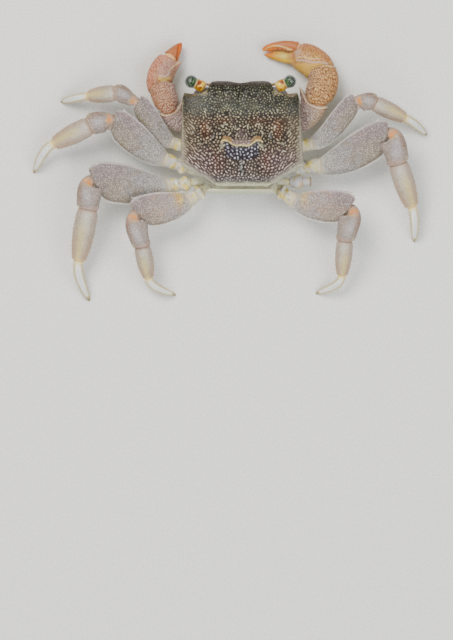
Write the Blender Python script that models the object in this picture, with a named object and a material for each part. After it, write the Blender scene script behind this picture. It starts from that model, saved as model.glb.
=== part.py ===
"""Sesarmid crab, life size, standing still with its legs spread.

Body frame: millimetres, +Z up, the head faces -Y and the animal's left side is +X.
Every limb is a smooth path through its joints, and each segment is a tapered tube along
one stretch of that path. Segments meet face to face with a small gap at every joint.
The right fourth leg is a stump, as on the specimen.
"""

from collections import namedtuple

import bmesh
import bpy
import numpy as np

MM = 0.001
GAP = 0.3                     # between the faces of neighbouring pieces
BODY_PLACE = (-2.08, -6.65)   # body frame's origin, so that the limbs' box is centred
UP = np.array((0.0, 0.0, 1.0))
LEFT, RIGHT = 1, -1

# Carapace, widths and heights as (place along Y, value)
CARAPACE_ROWS = (-11.15, -11.0, -10.5, -9.7, -9.0, -8.7, -8.2, -7.2, -5.2, -2.8, -0.4,
                 2.0, 4.2, 5.6, 6.5, 7.3, 8.4, 9.4, 9.9)
HALF_WIDTH = ((-11.15, 6.0), (-11.0, 6.25), (-9.0, 6.5), (-8.7, 11.45), (-7.2, 11.8),
              (0.0, 12.0), (4.2, 12.25), (5.6, 12.1), (6.5, 11.3), (7.3, 9.3),
              (8.4, 7.1), (9.4, 5.8), (9.9, 5.3))
MARGIN_HEIGHT = ((-11.15, 10.2), (-9.0, 10.8), (-8.7, 10.0), (0.0, 9.8), (6.5, 9.3),
                 (9.9, 8.9))
CREST_HEIGHT = ((-11.15, 10.7), (-11.0, 11.0), (-10.5, 11.5), (-9.0, 12.4), (-8.7, 12.5),
                (-5.2, 13.2), (-0.4, 13.5), (4.2, 13.4), (7.3, 12.8), (9.4, 11.7),
                (9.9, 11.0))
FLOOR_HEIGHT = ((-11.15, 8.7), (-11.0, 8.4), (-9.0, 8.1), (-8.7, 5.4), (9.9, 5.4))
FLOOR_HALF_WIDTH = ((-11.15, 5.8), (-9.0, 6.0), (-8.7, 9.2), (5.6, 9.3), (7.3, 7.6),
                    (9.4, 4.8), (9.9, 4.3))
SHOULDER = 0.65               # below 1 the cross-section is squarer than an ellipse
WALL_STEPS = (0.25, 0.5, 0.8)
WALL_TUCK = 2.2
FRONT_NOTCH, NOTCH_WIDTH, CORNER_ROUND = 0.45, 1.0, 0.6
LEAN = -0.02                  # sideways drift for each millimetre towards the back
ORBIT = ((8.8, -10.0, 9.9), (2.6, 2.5, 2.4))
CHEEK = ((6.8, -6.5, 5.6), (3.0, 3.5, 2.6))
CHEEK_SQUARE = 0.75
MOUTH_FLOOR = ((-9.0, -8.6, -3.4, -2.95), (3.2, 4.2, 4.2, 3.6), 4.6, 6.4)

# Sternum, pleon and mouth
STERNUM_ROWS = (-1.9, -1.3, -0.2, 1.2, 2.1, 3.5, 5.5, 7.5, 9.0, 9.8)
STERNUM_HALF_WIDTH = (3.0, 4.2, 4.9, 6.4, 8.4, 8.9, 9.1, 8.8, 7.8, 6.4)
STERNUM_BOTTOM, STERNUM_TOP = 2.5, 5.1
BOSS = 0.65                   # radius of a limb's boss, as a share of the limb's root
PLEON_PATH = ((10.62, 9.5), (10.86, 8.4), (10.9, 6.6), (10.86, 4.4), (10.6, 2.7),
              (9.8, 1.85), (8.0, 1.75), (5.6, 1.75), (4.6, 1.75), (3.9, 1.75))
PLEON_HALF_WIDTH = (6.6, 7.0, 6.0, 5.3, 5.3, 5.2, 4.4, 3.9, 3.4, 1.7)
PLATE_HALF_THICKNESS = 0.35
TELSON_Y, TELSON_Z = (3.58, 0.25), 1.75
TELSON_HALF_WIDTH = ((0.0, 1.6), (0.35, 1.5), (0.7, 1.2), (0.9, 0.8), (1.0, 0.35))
MAXILLIPED = ((1.95, -2.3, 3.75), (3.1, -7.9, 3.75))
MAXILLIPED_HALF_WIDTH = ((0.0, 1.45), (0.2, 1.6), (0.35, 1.25), (0.7, 0.95), (1.0, 0.5))

# Eyes and antennae, for the left side; the right side is the mirror image
STALK = ((7.1, -9.8, 9.45), (8.95, -10.65, 9.75))
STALK_HALF_WIDTH = ((0.0, 0.95), (0.35, 1.2), (1.0, 1.05))
EYE_RADIUS = 1.32
ANTENNA = ((5.2, -10.0, 7.8), (8.5, -11.2, 7.0))
ANTENNA_HALF_WIDTH = ((0.0, 0.5), (0.3, 0.42), (0.45, 0.3), (1.0, 0.12))

# Walking legs: six joints from the coxa to the tip, and each segment's largest width
Leg = namedtuple("Leg", "side joints merus fullness carpus propodus dactyl")
LEGS = {
    "left_leg_2": Leg(LEFT, ((10.0, 2.4, 3.9), (13.3, 1.2, 4.6), (20.7, -7.0, 7.2),
                             (24.9, -8.8, 7.0), (30.5, -8.2, 4.2), (36.0, -7.1, 0.0)),
                      4.5, 0.6, 3.5, 3.4, 1.8),
    "left_leg_3": Leg(LEFT, ((10.8, 6.0, 4.0), (14.7, 4.6, 4.8), (25.5, -3.4, 7.6),
                             (30.0, -2.3, 7.4), (37.3, 1.3, 4.3), (41.4, 7.1, 0.0)),
                      6.5, 0.8, 4.5, 4.1, 2.0),
    "left_leg_4": Leg(LEFT, ((10.2, 9.2, 4.4), (14.1, 9.8, 5.1), (29.7, 8.6, 8.0),
                             (30.5, 14.3, 7.8), (32.4, 24.7, 4.0), (30.3, 32.7, 0.0)),
                      8.4, 1.0, 4.6, 4.4, 2.1),
    "left_leg_5": Leg(LEFT, ((7.8, 10.8, 4.8), (10.1, 12.4, 6.0), (20.9, 15.2, 8.4),
                             (19.7, 21.8, 7.4), (18.4, 28.1, 3.8), (13.0, 31.6, 0.0)),
                      6.9, 0.8, 3.8, 3.4, 1.8),
    "right_leg_2": Leg(RIGHT, ((-10.0, 2.4, 3.9), (-13.9, 1.4, 4.6), (-23.1, -7.2, 7.2),
                               (-26.7, -6.8, 7.0), (-32.9, -3.8, 4.2), (-37.3, -0.5, 0.0)),
                       4.5, 0.6, 3.6, 3.4, 1.8),
    "right_leg_3": Leg(RIGHT, ((-10.8, 6.0, 4.0), (-15.5, 5.8, 4.8), (-29.5, -0.8, 7.8),
                               (-31.5, 5.2, 7.6), (-34.3, 13.9, 4.3), (-34.8, 20.9, 0.0)),
                       7.5, 0.85, 4.6, 4.2, 2.0),
    "right_leg_5": Leg(RIGHT, ((-7.8, 10.8, 4.8), (-10.5, 12.4, 6.0), (-21.9, 14.2, 8.4),
                               (-20.9, 20.6, 7.4), (-20.3, 27.6, 3.8), (-15.1, 31.3, 0.0)),
                       6.9, 0.8, 3.9, 3.4, 1.8),
}
STUMP = ((-10.1, 9.0, 4.3), (-14.2, 8.9, 4.9))
STUMP_HALF_WIDTH = ((0.0, 1.1), (0.35, 1.35), (0.6, 1.15), (0.75, 0.95), (1.0, 0.9))
COXA_HALF_WIDTH = {"2": 1.3, "3": 1.3, "4": 1.15, "5": 1.05}
BASE_SHAPE = ((0.0, 0.95), (0.3, 1.08), (0.5, 0.85), (0.75, 0.95), (1.0, 1.0))
MERUS_SHAPE = ((0.0, 0.36), (0.07, 0.47), (0.19, 0.64), (0.38, 0.85), (0.64, 1.0),
               (0.83, 0.98), (0.94, 0.82), (1.0, 0.56))
CARPUS_SHAPE = ((0.0, 0.5), (0.25, 0.62), (0.55, 0.85), (0.85, 1.0), (1.0, 0.9))
KNEE_TURN = 0.55              # how far a merus's end face turns towards the next segment
KNEE_REACH = 1.3              # how far the knee swings out before it turns
PROPODUS_SHAPE = ((0.0, 0.8), (0.12, 0.97), (0.4, 1.0), (0.7, 0.88), (0.9, 0.72),
                  (1.0, 0.58))
DACTYL_SHAPE = ((0.0, 0.9), (0.25, 1.0), (0.55, 0.9), (0.8, 0.6), (0.93, 0.36),
                (1.0, 0.24))
MERUS_DEPTH, CARPUS_DEPTH, PROPODUS_DEPTH, DACTYL_DEPTH = 0.37, 0.62, 0.6, 0.8
MERUS_ROLL, CARPUS_ROLL = 20.0, 10.0
DACTYL_HOOK = 0.35            # how far the tip bends on past the claw's own line
SPINE_AT, SPINE_LENGTH, SPINE_RADIUS = 0.88, 1.1, 0.42

# Claws: base, merus, carpus and palm joints, then the finger's root and tip
Claw = namedtuple("Claw", "side joints palm_end finger_root finger_tip fixed_root "
                          "fixed_tip merus carpus palm palm_depth finger roll hook "
                          "elbow wrist merus_spine carpus_spine palm_spine")
CLAWS = {
    "left_claw": Claw(LEFT, ((6.8, 0.0, 3.4), (10.6, -2.0, 3.9), (14.35, -5.75, 4.3),
                             (15.95, -9.85, 3.6)),
                      (13.95, -15.75, 2.7), (14.0, -15.9, 3.4), (11.75, -18.95, 2.0),
                      (13.7, -15.2, 1.2), (12.0, -18.6, 1.0),
                      4.2, 5.0, 5.0, 5.0, 3.15, 40.0, 0.0, (0.3, -0.95, 0.0),
                      (0.4, -0.91, -0.1),
                      ((12.4, -5.1, 4.4), (11.35, -7.5, 4.6)),
                      ((14.6, -8.9, 4.4), (13.4, -10.7, 4.7)),
                      ((13.1, -14.0, 3.4), (11.75, -15.1, 3.4))),
    "right_claw": Claw(RIGHT, ((-6.8, 0.0, 3.4), (-10.7, -2.2, 3.9), (-15.2, -7.4, 4.3),
                               (-16.1, -13.05, 3.4)),
                       (-11.0, -16.55, 2.3), (-11.2, -18.0, 2.4), (-4.25, -17.4, 1.6),
                       (-10.7, -15.65, 1.7), (-4.7, -16.55, 1.2),
                       5.0, 6.35, 6.25, 4.8, 2.35, 12.0, 0.45, (-0.34, -0.94, 0.0),
                       (0.42, -0.9, -0.1),
                       ((-12.7, -6.6, 4.4), (-11.6, -10.3, 4.8)),
                       ((-14.5, -9.3, 4.2), (-13.3, -10.3, 4.2)), None),
}
CLAW_SPINE_RADIUS = 0.75
CLAW_BASE_SHAPE = ((0.0, 1.5), (0.3, 1.65), (0.55, 1.35), (1.0, 1.5))
CLAW_MERUS_SHAPE = ((0.0, 0.6), (0.25, 0.85), (0.7, 1.0), (0.9, 1.0), (1.0, 0.92))
CLAW_CARPUS_SHAPE = ((0.0, 0.72), (0.2, 0.93), (0.5, 1.0), (0.8, 0.98), (1.0, 0.92))
PALM_SHAPE = ((0.0, 0.94), (0.2, 1.0), (0.5, 1.0), (0.8, 0.93), (1.0, 0.76))
FINGER_SHAPE = ((0.0, 0.98), (0.2, 0.86), (0.55, 0.64), (0.85, 0.36), (1.0, 0.14))
FIXED_SHAPE = ((0.0, 1.1), (0.35, 1.1), (0.62, 0.9), (0.88, 0.5), (1.0, 0.18))

COLOURS = {
    "carapace": (80, 68, 62), "sternum": (212, 222, 226), "pleon": (202, 202, 196),
    "mouth": (190, 192, 184), "stalk": (222, 192, 92), "eye": (38, 52, 40),
    "antenna": (170, 150, 120), "leg": (172, 160, 156), "leg_tip": (214, 204, 176),
    "claw": (206, 158, 122), "finger": (222, 140, 78),
}


def unit(vector):
    """The same direction at length one."""
    vector = np.asarray(vector, float)
    return vector / np.linalg.norm(vector)


def profile(s, pairs):
    """Value at each place s on a cubic through the (place, value) pairs."""
    places, values = np.array(pairs, float).T
    steps = np.diff(places)
    rises = np.diff(values) / steps
    slopes = np.concatenate((rises[:1], np.zeros(len(steps) - 1), rises[-1:]))
    same_way = rises[1:] * rises[:-1] > 0
    between = 2 * rises[1:] * rises[:-1] / np.where(same_way, rises[1:] + rises[:-1], 1)
    slopes[1:-1] = np.where(same_way, between, 0)
    s = np.clip(np.asarray(s, float), places[0], places[-1])
    k = np.clip(np.searchsorted(places, s, side="right") - 1, 0, len(steps) - 1)
    t = (s - places[k]) / steps[k]
    return ((2 * t**3 - 3 * t**2 + 1) * values[k] + (t**3 - 2 * t**2 + t) * steps[k] * slopes[k]
            + (3 * t**2 - 2 * t**3) * values[k + 1] + (t**3 - t**2) * steps[k] * slopes[k + 1])


def path_between(start, end, leave, arrive, places, swing=1.0):
    """Cubic path that leaves start and reaches end along the two given directions."""
    start, end = np.array(start, float), np.array(end, float)
    leave, arrive = unit(leave), unit(arrive)
    start, end = start + leave * GAP / 2, end - arrive * GAP / 2
    reach = np.linalg.norm(end - start)
    t = np.asarray(places)[:, None]
    leave = leave * swing
    points = ((2 * t**3 - 3 * t**2 + 1) * start + (t**3 - 2 * t**2 + t) * reach * leave
              + (3 * t**2 - 2 * t**3) * end + (t**3 - t**2) * reach * arrive)
    rates = ((6 * t**2 - 6 * t) * start + (3 * t**2 - 4 * t + 1) * reach * leave
             + (6 * t - 6 * t**2) * end + (3 * t**2 - 2 * t) * reach * arrive)
    return points, rates / np.linalg.norm(rates, axis=1)[:, None]


def rounded(wave, square):
    """A sine or cosine raised to a power, with its sign kept."""
    return np.sign(wave) * np.abs(wave) ** square


def tube(points, headings, half_width, half_depth, side=LEFT, roll=0.0, sides=12,
         square=1.0, across=None):
    """Rings of points round a path: super-ellipses, one for each place on the path."""
    if across is None:
        across = side * np.cross(headings, UP)
    else:
        across = np.broadcast_to(np.array(across, float), points.shape)
    across = across / np.linalg.norm(across, axis=1)[:, None]
    top = side * np.cross(across, headings)
    turn = np.radians(roll) * np.ones(len(points))
    front = across * np.cos(turn)[:, None] + top * np.sin(turn)[:, None]
    top = top * np.cos(turn)[:, None] - across * np.sin(turn)[:, None]
    angle = np.arange(sides) * 2 * np.pi / sides
    wide, high = rounded(np.cos(angle), square), rounded(np.sin(angle), square)
    return (points[:, None] + front[:, None] * (half_width[:, None] * wide)[..., None]
            + top[:, None] * (half_depth[:, None] * high)[..., None])


def ellipsoid(centre, radii, square=1.0, rows=8, sides=14):
    """Rings of an ellipsoid from pole to pole, boxier where square is below 1."""
    lift = np.radians(np.linspace(-84, 84, rows))[:, None]
    turn = np.arange(sides) * 2 * np.pi / sides
    level = rounded(np.cos(lift), square)
    ball = np.stack((level * rounded(np.cos(turn), square),
                     level * rounded(np.sin(turn), square),
                     rounded(np.sin(lift), square) + 0 * turn), axis=2)
    return np.array(centre) + ball * np.array(radii)


def spine(root, tip, radius, sides=6):
    """Rings of a straight spine that tapers from its root to a small blunt tip."""
    root, tip = np.array(root, float), np.array(tip, float)
    heading = unit(tip - root)
    points = np.array((root, root + (tip - root) * 0.5, tip))
    across = np.cross(heading, UP if abs(heading[2]) < 0.9 else (1.0, 0.0, 0.0))
    half = radius * np.array((1.0, 0.7, 0.18))
    return tube(points, np.tile(heading, (3, 1)), half, half, sides=sides, across=across)


def material(name, colour, roughness=0.45):
    """Plain shell material for one piece."""
    shell = bpy.data.materials.new(name)
    shell.use_nodes = True
    shader = shell.node_tree.nodes["Principled BSDF"]
    linear = (np.array(colour) / 255) ** 2.2
    shader.inputs["Base Color"].default_value = (*linear, 1.0)
    shader.inputs["Roughness"].default_value = roughness
    shader.inputs["Metallic"].default_value = 0.0
    return shell


def piece(name, rings, body, colour="leg"):
    """One closed object from rings of points, with its origin at the first ring's centre."""
    count, sides = rings.shape[:2]
    origin = rings[0].mean(axis=0)
    shape = bmesh.new()
    corners = [[shape.verts.new((point - origin) * MM) for point in ring] for ring in rings]
    for lower, upper in zip(corners, corners[1:]):
        for i in range(sides):
            j = (i + 1) % sides
            shape.faces.new((lower[i], lower[j], upper[j], upper[i]))
    shape.faces.new(corners[0])
    shape.faces.new(corners[-1])
    bmesh.ops.recalc_face_normals(shape, faces=shape.faces)
    mesh = bpy.data.meshes.new(name)
    shape.to_mesh(mesh)
    shape.free()
    mesh.shade_smooth()
    mesh.set_sharp_from_angle(angle=np.radians(50))
    thing = bpy.data.objects.new(name, mesh)
    bpy.context.scene.collection.objects.link(thing)
    thing.location = origin * MM
    thing.parent = body
    mesh.materials.append(material(name, COLOURS[colour]))
    return thing


def largest_surface(mesh):
    """Keep only the mesh's biggest connected surface."""
    shape = bmesh.new()
    shape.from_mesh(mesh)
    left, groups = set(shape.faces), []
    while left:
        group, edge_of_group = set(), [left.pop()]
        while edge_of_group:
            face = edge_of_group.pop()
            group.add(face)
            for edge in face.edges:
                for other in edge.link_faces:
                    if other in left:
                        left.discard(other)
                        edge_of_group.append(other)
        groups.append(group)
    keep = max(groups, key=lambda faces: sum(face.calc_area() for face in faces))
    loose = [face for group in groups if group is not keep for face in group]
    bmesh.ops.delete(shape, geom=loose, context="FACES")
    shape.to_mesh(mesh)
    shape.free()


def combine(thing, others, operation="UNION"):
    """Join closed pieces to a thing, or cut them from it, with one Boolean."""
    folder = bpy.data.collections.new(thing.name + "_pieces")
    for other in others:
        folder.objects.link(other)
    step = thing.modifiers.new("combine", "BOOLEAN")
    step.operation = operation
    step.operand_type = "COLLECTION"
    step.collection = folder
    step.solver = "EXACT"
    bpy.context.view_layer.update()
    graph = bpy.context.evaluated_depsgraph_get()
    mesh = bpy.data.meshes.new_from_object(thing.evaluated_get(graph))
    thing.modifiers.clear()
    thing.data = mesh
    for other in others:
        bpy.data.objects.remove(other)
    bpy.data.collections.remove(folder)
    largest_surface(mesh)
    mesh.name = thing.name


def flatten_foot(thing):
    """Cut off what lies below the floor, which leaves a small flat at floor level."""
    shape = bmesh.new()
    shape.from_mesh(thing.data)
    everything = list(shape.verts) + list(shape.edges) + list(shape.faces)
    floor = (0, 0, -thing.location.z)
    bmesh.ops.bisect_plane(shape, geom=everything, dist=1e-7, plane_co=floor,
                           plane_no=(0, 0, -1), clear_outer=True)
    rim = [edge for edge in shape.edges if edge.is_boundary]
    if rim:
        bmesh.ops.contextual_create(shape, geom=rim)
        bmesh.ops.recalc_face_normals(shape, faces=shape.faces)
    shape.to_mesh(thing.data)
    shape.free()


def carapace_rings():
    """Cross-sections of the back shell: an arch from margin to margin, walls and a floor."""
    y = np.array(CARAPACE_ROWS)
    wide, margin, crest, floor, floor_wide = (
        profile(y, pairs)[:, None] for pairs in
        (HALF_WIDTH, MARGIN_HEIGHT, CREST_HEIGHT, FLOOR_HEIGHT, FLOOR_HALF_WIDTH))
    angle = np.radians(np.linspace(0, 180, 15))
    arch_x = wide * rounded(np.cos(angle), SHOULDER)
    arch_z = margin + (crest - margin) * np.sin(angle) ** SHOULDER
    step = np.array((*WALL_STEPS, 1.0))
    wall_x = floor_wide + (wide - floor_wide) * (1 - step) ** WALL_TUCK
    wall_z = margin + (floor - margin) * step
    x = np.hstack((arch_x, -wall_x, wall_x[:, ::-1]))
    z = np.hstack((arch_z, wall_z, wall_z[:, ::-1]))
    near_front = np.clip((-9.7 - y) / 1.0, 0, 1)[:, None]
    notch = FRONT_NOTCH * np.exp(-(x / NOTCH_WIDTH) ** 2)
    corner = CORNER_ROUND * (np.abs(x) / wide.max(axis=1, initial=0, keepdims=True)) ** 8
    x = x + LEAN * (y[:, None] - y[0])
    return np.stack((x, y[:, None] + near_front * (notch + corner), z), axis=2)


def carapace(body):
    """Back shell with the deflexed front, two orbits, the cheeks and the mouth's floor."""
    shell = piece("carapace", carapace_rings(), body, "carapace")
    y, half, low, high = MOUTH_FLOOR
    turn = np.radians((45, 135, 225, 315))
    box_x, box_z = np.sqrt(2) * np.cos(turn), np.sqrt(2) * np.sin(turn)
    middle, rise = (low + high) / 2, (high - low) / 2
    block = np.stack((np.outer(half, box_x), np.repeat(np.array(y)[:, None], 4, axis=1),
                      middle + rise * np.tile(box_z, (4, 1))), axis=2)
    extras = [piece("mouth_floor", block, body)]
    for side in (LEFT, RIGHT):
        mirror = np.array((side, 1, 1))
        extras.append(piece("cheek", ellipsoid(CHEEK[0] * mirror, CHEEK[1], CHEEK_SQUARE),
                            body))
    combine(shell, extras)
    orbits = [piece("orbit", ellipsoid(ORBIT[0] * np.array((side, 1, 1)), ORBIT[1]), body)
              for side in (LEFT, RIGHT)]
    combine(shell, orbits, "DIFFERENCE")


def sternum(body, roots):
    """Breast plate with one short boss for every limb, which ends short of the limb's root."""
    y = np.array(STERNUM_ROWS)
    middle = np.full(len(y), (STERNUM_TOP + STERNUM_BOTTOM) / 2)
    points = np.stack((0 * y, y, middle), axis=1)
    headings = np.tile((0.0, 1.0, 0.0), (len(y), 1))
    depth = np.full(len(y), (STERNUM_TOP - STERNUM_BOTTOM) / 2)
    depth[[0, -1]] *= 0.8
    plate = piece("sternum", tube(points, headings, np.array(STERNUM_HALF_WIDTH), depth,
                                  sides=20, square=0.45), body, "sternum")
    bosses = []
    for root, heading, half in roots:
        heading = unit(heading)
        ends = np.array((root - heading * 2.6, root - heading * GAP))
        size = np.full(2, half * BOSS)
        bosses.append(piece("boss", tube(ends, np.tile(heading, (2, 1)), size, size), body))
    combine(plate, bosses)


def pleon(body):
    """Tail plates: down behind the shell, then forwards under the breast plate."""
    path = np.array([(0, y, z) for y, z in PLEON_PATH])
    rates = np.gradient(path, axis=0)
    headings = rates / np.linalg.norm(rates, axis=1)[:, None]
    half = np.array(PLEON_HALF_WIDTH)
    thick = np.full(len(half), PLATE_HALF_THICKNESS)
    piece("pleon", tube(path, headings, half, thick, sides=16, square=0.4,
                        across=(1.0, 0.0, 0.0)), body, "pleon")
    s = np.linspace(0, 1, 7)
    path = np.stack((0 * s, TELSON_Y[0] + (TELSON_Y[1] - TELSON_Y[0]) * s,
                     0 * s + TELSON_Z), axis=1)
    headings = np.tile((0.0, -1.0, 0.0), (len(s), 1))
    piece("telson", tube(path, headings, profile(s, TELSON_HALF_WIDTH), thick[:7], sides=14,
                         square=0.5), body, "pleon")


def face(body):
    """Outer mouthparts, eye stalks, eyes and antennae, a pair of each."""
    for side, word in ((LEFT, "left"), (RIGHT, "right")):
        mirror = np.array((side, 1, 1))
        s = np.linspace(0, 1, 8)
        start, end = (np.array(end) * mirror for end in MAXILLIPED)
        points, headings = path_between(start, end, (0.2 * side, -1, 0), (0.2 * side, -1, 0), s)
        half = profile(s, MAXILLIPED_HALF_WIDTH)
        piece(word + "_maxilliped", tube(points, headings, half, 0 * s + 0.55, sides=12,
                                         square=0.7), body, "mouth")
        s = np.linspace(0, 1, 5)
        start, end = (np.array(end) * mirror for end in STALK)
        heading = unit(end - start)
        points, headings = path_between(start, end, heading, heading, s)
        half = profile(s, STALK_HALF_WIDTH)
        piece(word + "_eye_stalk", tube(points, headings, half, half), body, "stalk")
        swing = np.radians(np.linspace(50, 172, 8))
        ball = -np.cos(swing) * EYE_RADIUS
        points = end + heading * (GAP / 2 + ball - ball[0])[:, None]
        half = np.sin(swing) * EYE_RADIUS
        piece(word + "_eye", tube(points, np.tile(heading, (8, 1)), half, half, sides=16),
              body, "eye")
        s = np.linspace(0, 1, 6)
        start, end = (np.array(end) * mirror for end in ANTENNA)
        points, headings = path_between(start, end, (0.1 * side, -0.3, -1),
                                        (0.8 * side, -0.5, 0.3), s)
        half = profile(s, ANTENNA_HALF_WIDTH)
        piece(word + "_antenna", tube(points, headings, half, half, sides=8), body, "antenna")


def leg(name, build, body):
    """Base, merus, carpus, propodus and dactyl of one walking leg."""
    joints = np.array(build.joints, float)
    ways = [unit(step) for step in np.diff(joints, axis=0)]
    ways[2] = ways[3]
    hook = unit(ways[4] + DACTYL_HOOK * (ways[4] - ways[3]) - 0.35 * UP)
    coxa = COXA_HALF_WIDTH[name[-1]]

    s = np.linspace(0, 1, 6)
    points, headings = path_between(joints[0] - ways[0] * GAP / 2, joints[1], ways[0],
                                    ways[0], s)
    end_width = build.merus * MERUS_SHAPE[0][1] ** build.fullness / 2
    half = coxa * profile(s, BASE_SHAPE) * (1 - s) + end_width * s
    piece(name + "_base", tube(points, headings, half, half * (1 - 0.2 * s), build.side),
          body)

    s = np.array((0, 0.07, 0.19, 0.36, 0.54, 0.7, 0.82, 0.9, 0.95, 1.0))
    points, headings = path_between(joints[1], joints[2], ways[0], ways[1], s)
    half = build.merus * profile(s, MERUS_SHAPE) ** build.fullness / 2
    depth = build.merus * MERUS_DEPTH * profile(s, MERUS_SHAPE) ** 0.6 / 2
    mitre = unit(ways[1] + KNEE_TURN * ways[3])
    headings = headings + (np.clip((s - 0.7) / 0.3, 0, 1))[:, None] * (mitre - ways[1])
    headings = headings / np.linalg.norm(headings, axis=1)[:, None]
    rings = tube(points, headings, half, depth, build.side, MERUS_ROLL * s**0.5, sides=14)
    merus = piece(name + "_merus", rings, body)
    row = np.searchsorted(s, SPINE_AT)
    edge = rings[row, 0]
    outward = unit(edge - points[row])
    root = edge - outward * 0.8
    tip = edge + headings[row] * SPINE_LENGTH + outward * 0.45
    combine(merus, [piece("spine", spine(root, tip, SPINE_RADIUS), body)])

    s = np.linspace(0, 1, 7)
    points, headings = path_between(joints[2], joints[3], mitre, ways[3], s, KNEE_REACH)
    half = build.carpus * profile(s, CARPUS_SHAPE) / 2
    piece(name + "_carpus", tube(points, headings, half, half * CARPUS_DEPTH, build.side,
                                 CARPUS_ROLL * (1 - s)), body)

    points, headings = path_between(joints[3], joints[4], ways[3], ways[3], s)
    half = build.propodus * profile(s, PROPODUS_SHAPE) / 2
    piece(name + "_propodus", tube(points, headings, half, half * PROPODUS_DEPTH,
                                   build.side), body)

    s = np.array((0, 0.15, 0.3, 0.45, 0.6, 0.75, 0.87, 0.95, 1.0))
    points, headings = path_between(joints[4], joints[5], ways[3], hook, s)
    half = build.dactyl * profile(s, DACTYL_SHAPE) / 2
    foot = piece(name + "_dactyl", tube(points, headings, half, half * DACTYL_DEPTH,
                                        build.side, sides=10), body, "leg_tip")
    flatten_foot(foot)
    return joints[0], ways[0], coxa


def claw(name, build, body):
    """Base, merus, carpus, palm with its fixed finger, and the movable finger."""
    joints = np.array((*build.joints, build.palm_end), float)
    ways = [unit(step) for step in np.diff(joints, axis=0)]
    reach = unit(np.array(build.finger_tip) - np.array(build.finger_root))
    bulge = -build.side * np.cross(reach, UP) * build.hook
    palm_way = unit(reach + bulge)
    elbow, wrist = unit(np.array(build.elbow)), unit(np.array(build.wrist))

    s = np.linspace(0, 1, 5)
    points, headings = path_between(joints[0] - ways[0] * GAP / 2, joints[1], ways[0],
                                    ways[0], s)
    half = profile(s, CLAW_BASE_SHAPE)
    piece(name + "_base", tube(points, headings, half, half * 0.88, build.side), body)

    s = np.linspace(0, 1, 8)
    points, headings = path_between(joints[1], joints[2], ways[0], elbow, s)
    half = build.merus * profile(s, CLAW_MERUS_SHAPE) / 2
    merus = piece(name + "_merus", tube(points, headings, half, half * 0.72, build.side),
                  body, "claw")
    combine(merus, [piece("spine", spine(*build.merus_spine, CLAW_SPINE_RADIUS), body)])

    points, headings = path_between(joints[2], joints[3], elbow, wrist, s)
    half = build.carpus * profile(s, CLAW_CARPUS_SHAPE) / 2
    depth = half * 0.8
    carpus = piece(name + "_carpus", tube(points, headings, half, depth, build.side,
                                          sides=14), body, "claw")
    combine(carpus, [piece("spine", spine(*build.carpus_spine, CLAW_SPINE_RADIUS), body)])

    points, headings = path_between(joints[3], joints[4], wrist, palm_way, s)
    half = build.palm * profile(s, PALM_SHAPE) / 2
    depth = build.palm_depth * profile(s, PALM_SHAPE) / 2
    palm = piece(name + "_palm", tube(points, headings, half, depth, build.side, build.roll,
                                      sides=16, square=0.85), body, "claw")
    fixed_way = unit(np.array(build.fixed_tip) - np.array(build.fixed_root))
    points, headings = path_between(np.array(build.fixed_root) - fixed_way * 2.0,
                                    build.fixed_tip, fixed_way, fixed_way, s)
    half = profile(s, FIXED_SHAPE)
    fixed = piece("fixed", tube(points, headings, half, half * 0.75, build.side), body)
    combine(palm, [fixed] + [piece("spine", spine(*build.palm_spine, CLAW_SPINE_RADIUS), body)
                             for _ in range(build.palm_spine is not None)])
    flatten_foot(palm)

    root = np.array(build.finger_root)
    root = root - palm_way * ((root - joints[4]) @ palm_way)
    points, headings = path_between(root, build.finger_tip, palm_way, reach - bulge, s)
    half = build.finger * profile(s, FINGER_SHAPE) / 2
    piece(name + "_finger", tube(points, headings, half, half * 0.8, build.side), body,
          "finger")
    return joints[0], ways[0], CLAW_BASE_SHAPE[0][1]


def stump(body):
    """Coxa and basis left where the right fourth leg was shed."""
    start, end = np.array(STUMP[0]), np.array(STUMP[1])
    way = unit(end - start)
    s = np.linspace(0, 1, 7)
    points, headings = path_between(start - way * GAP / 2, end, way, way, s)
    half = profile(s, STUMP_HALF_WIDTH)
    piece("right_leg_4_stump", tube(points, headings, half, half, RIGHT), body)
    return start, way, STUMP_HALF_WIDTH[0][1]


def main():
    """Build the whole animal under one empty."""
    for thing in list(bpy.data.objects):
        bpy.data.objects.remove(thing)
    body = bpy.data.objects.new("body_frame", None)
    bpy.context.scene.collection.objects.link(body)
    body.location = (BODY_PLACE[0] * MM, BODY_PLACE[1] * MM, 0)
    carapace(body)
    pleon(body)
    face(body)
    roots = [leg(name, build, body) for name, build in LEGS.items()]
    roots += [claw(name, build, body) for name, build in CLAWS.items()]
    roots.append(stump(body))
    sternum(body, roots)


main()
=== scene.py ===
"""Looks of a life-size sesarmid crab, seen from straight above.

Every shell piece is a fine surface worked out on a grid: a profile carried along a path, or an
outline stretched over two parameters, with granules, ridges and grooves added along its normals.
Sizes are body millimetres: +Z up, the head faces -Y and the animal's left side is +X.
"""

from collections import namedtuple

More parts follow.
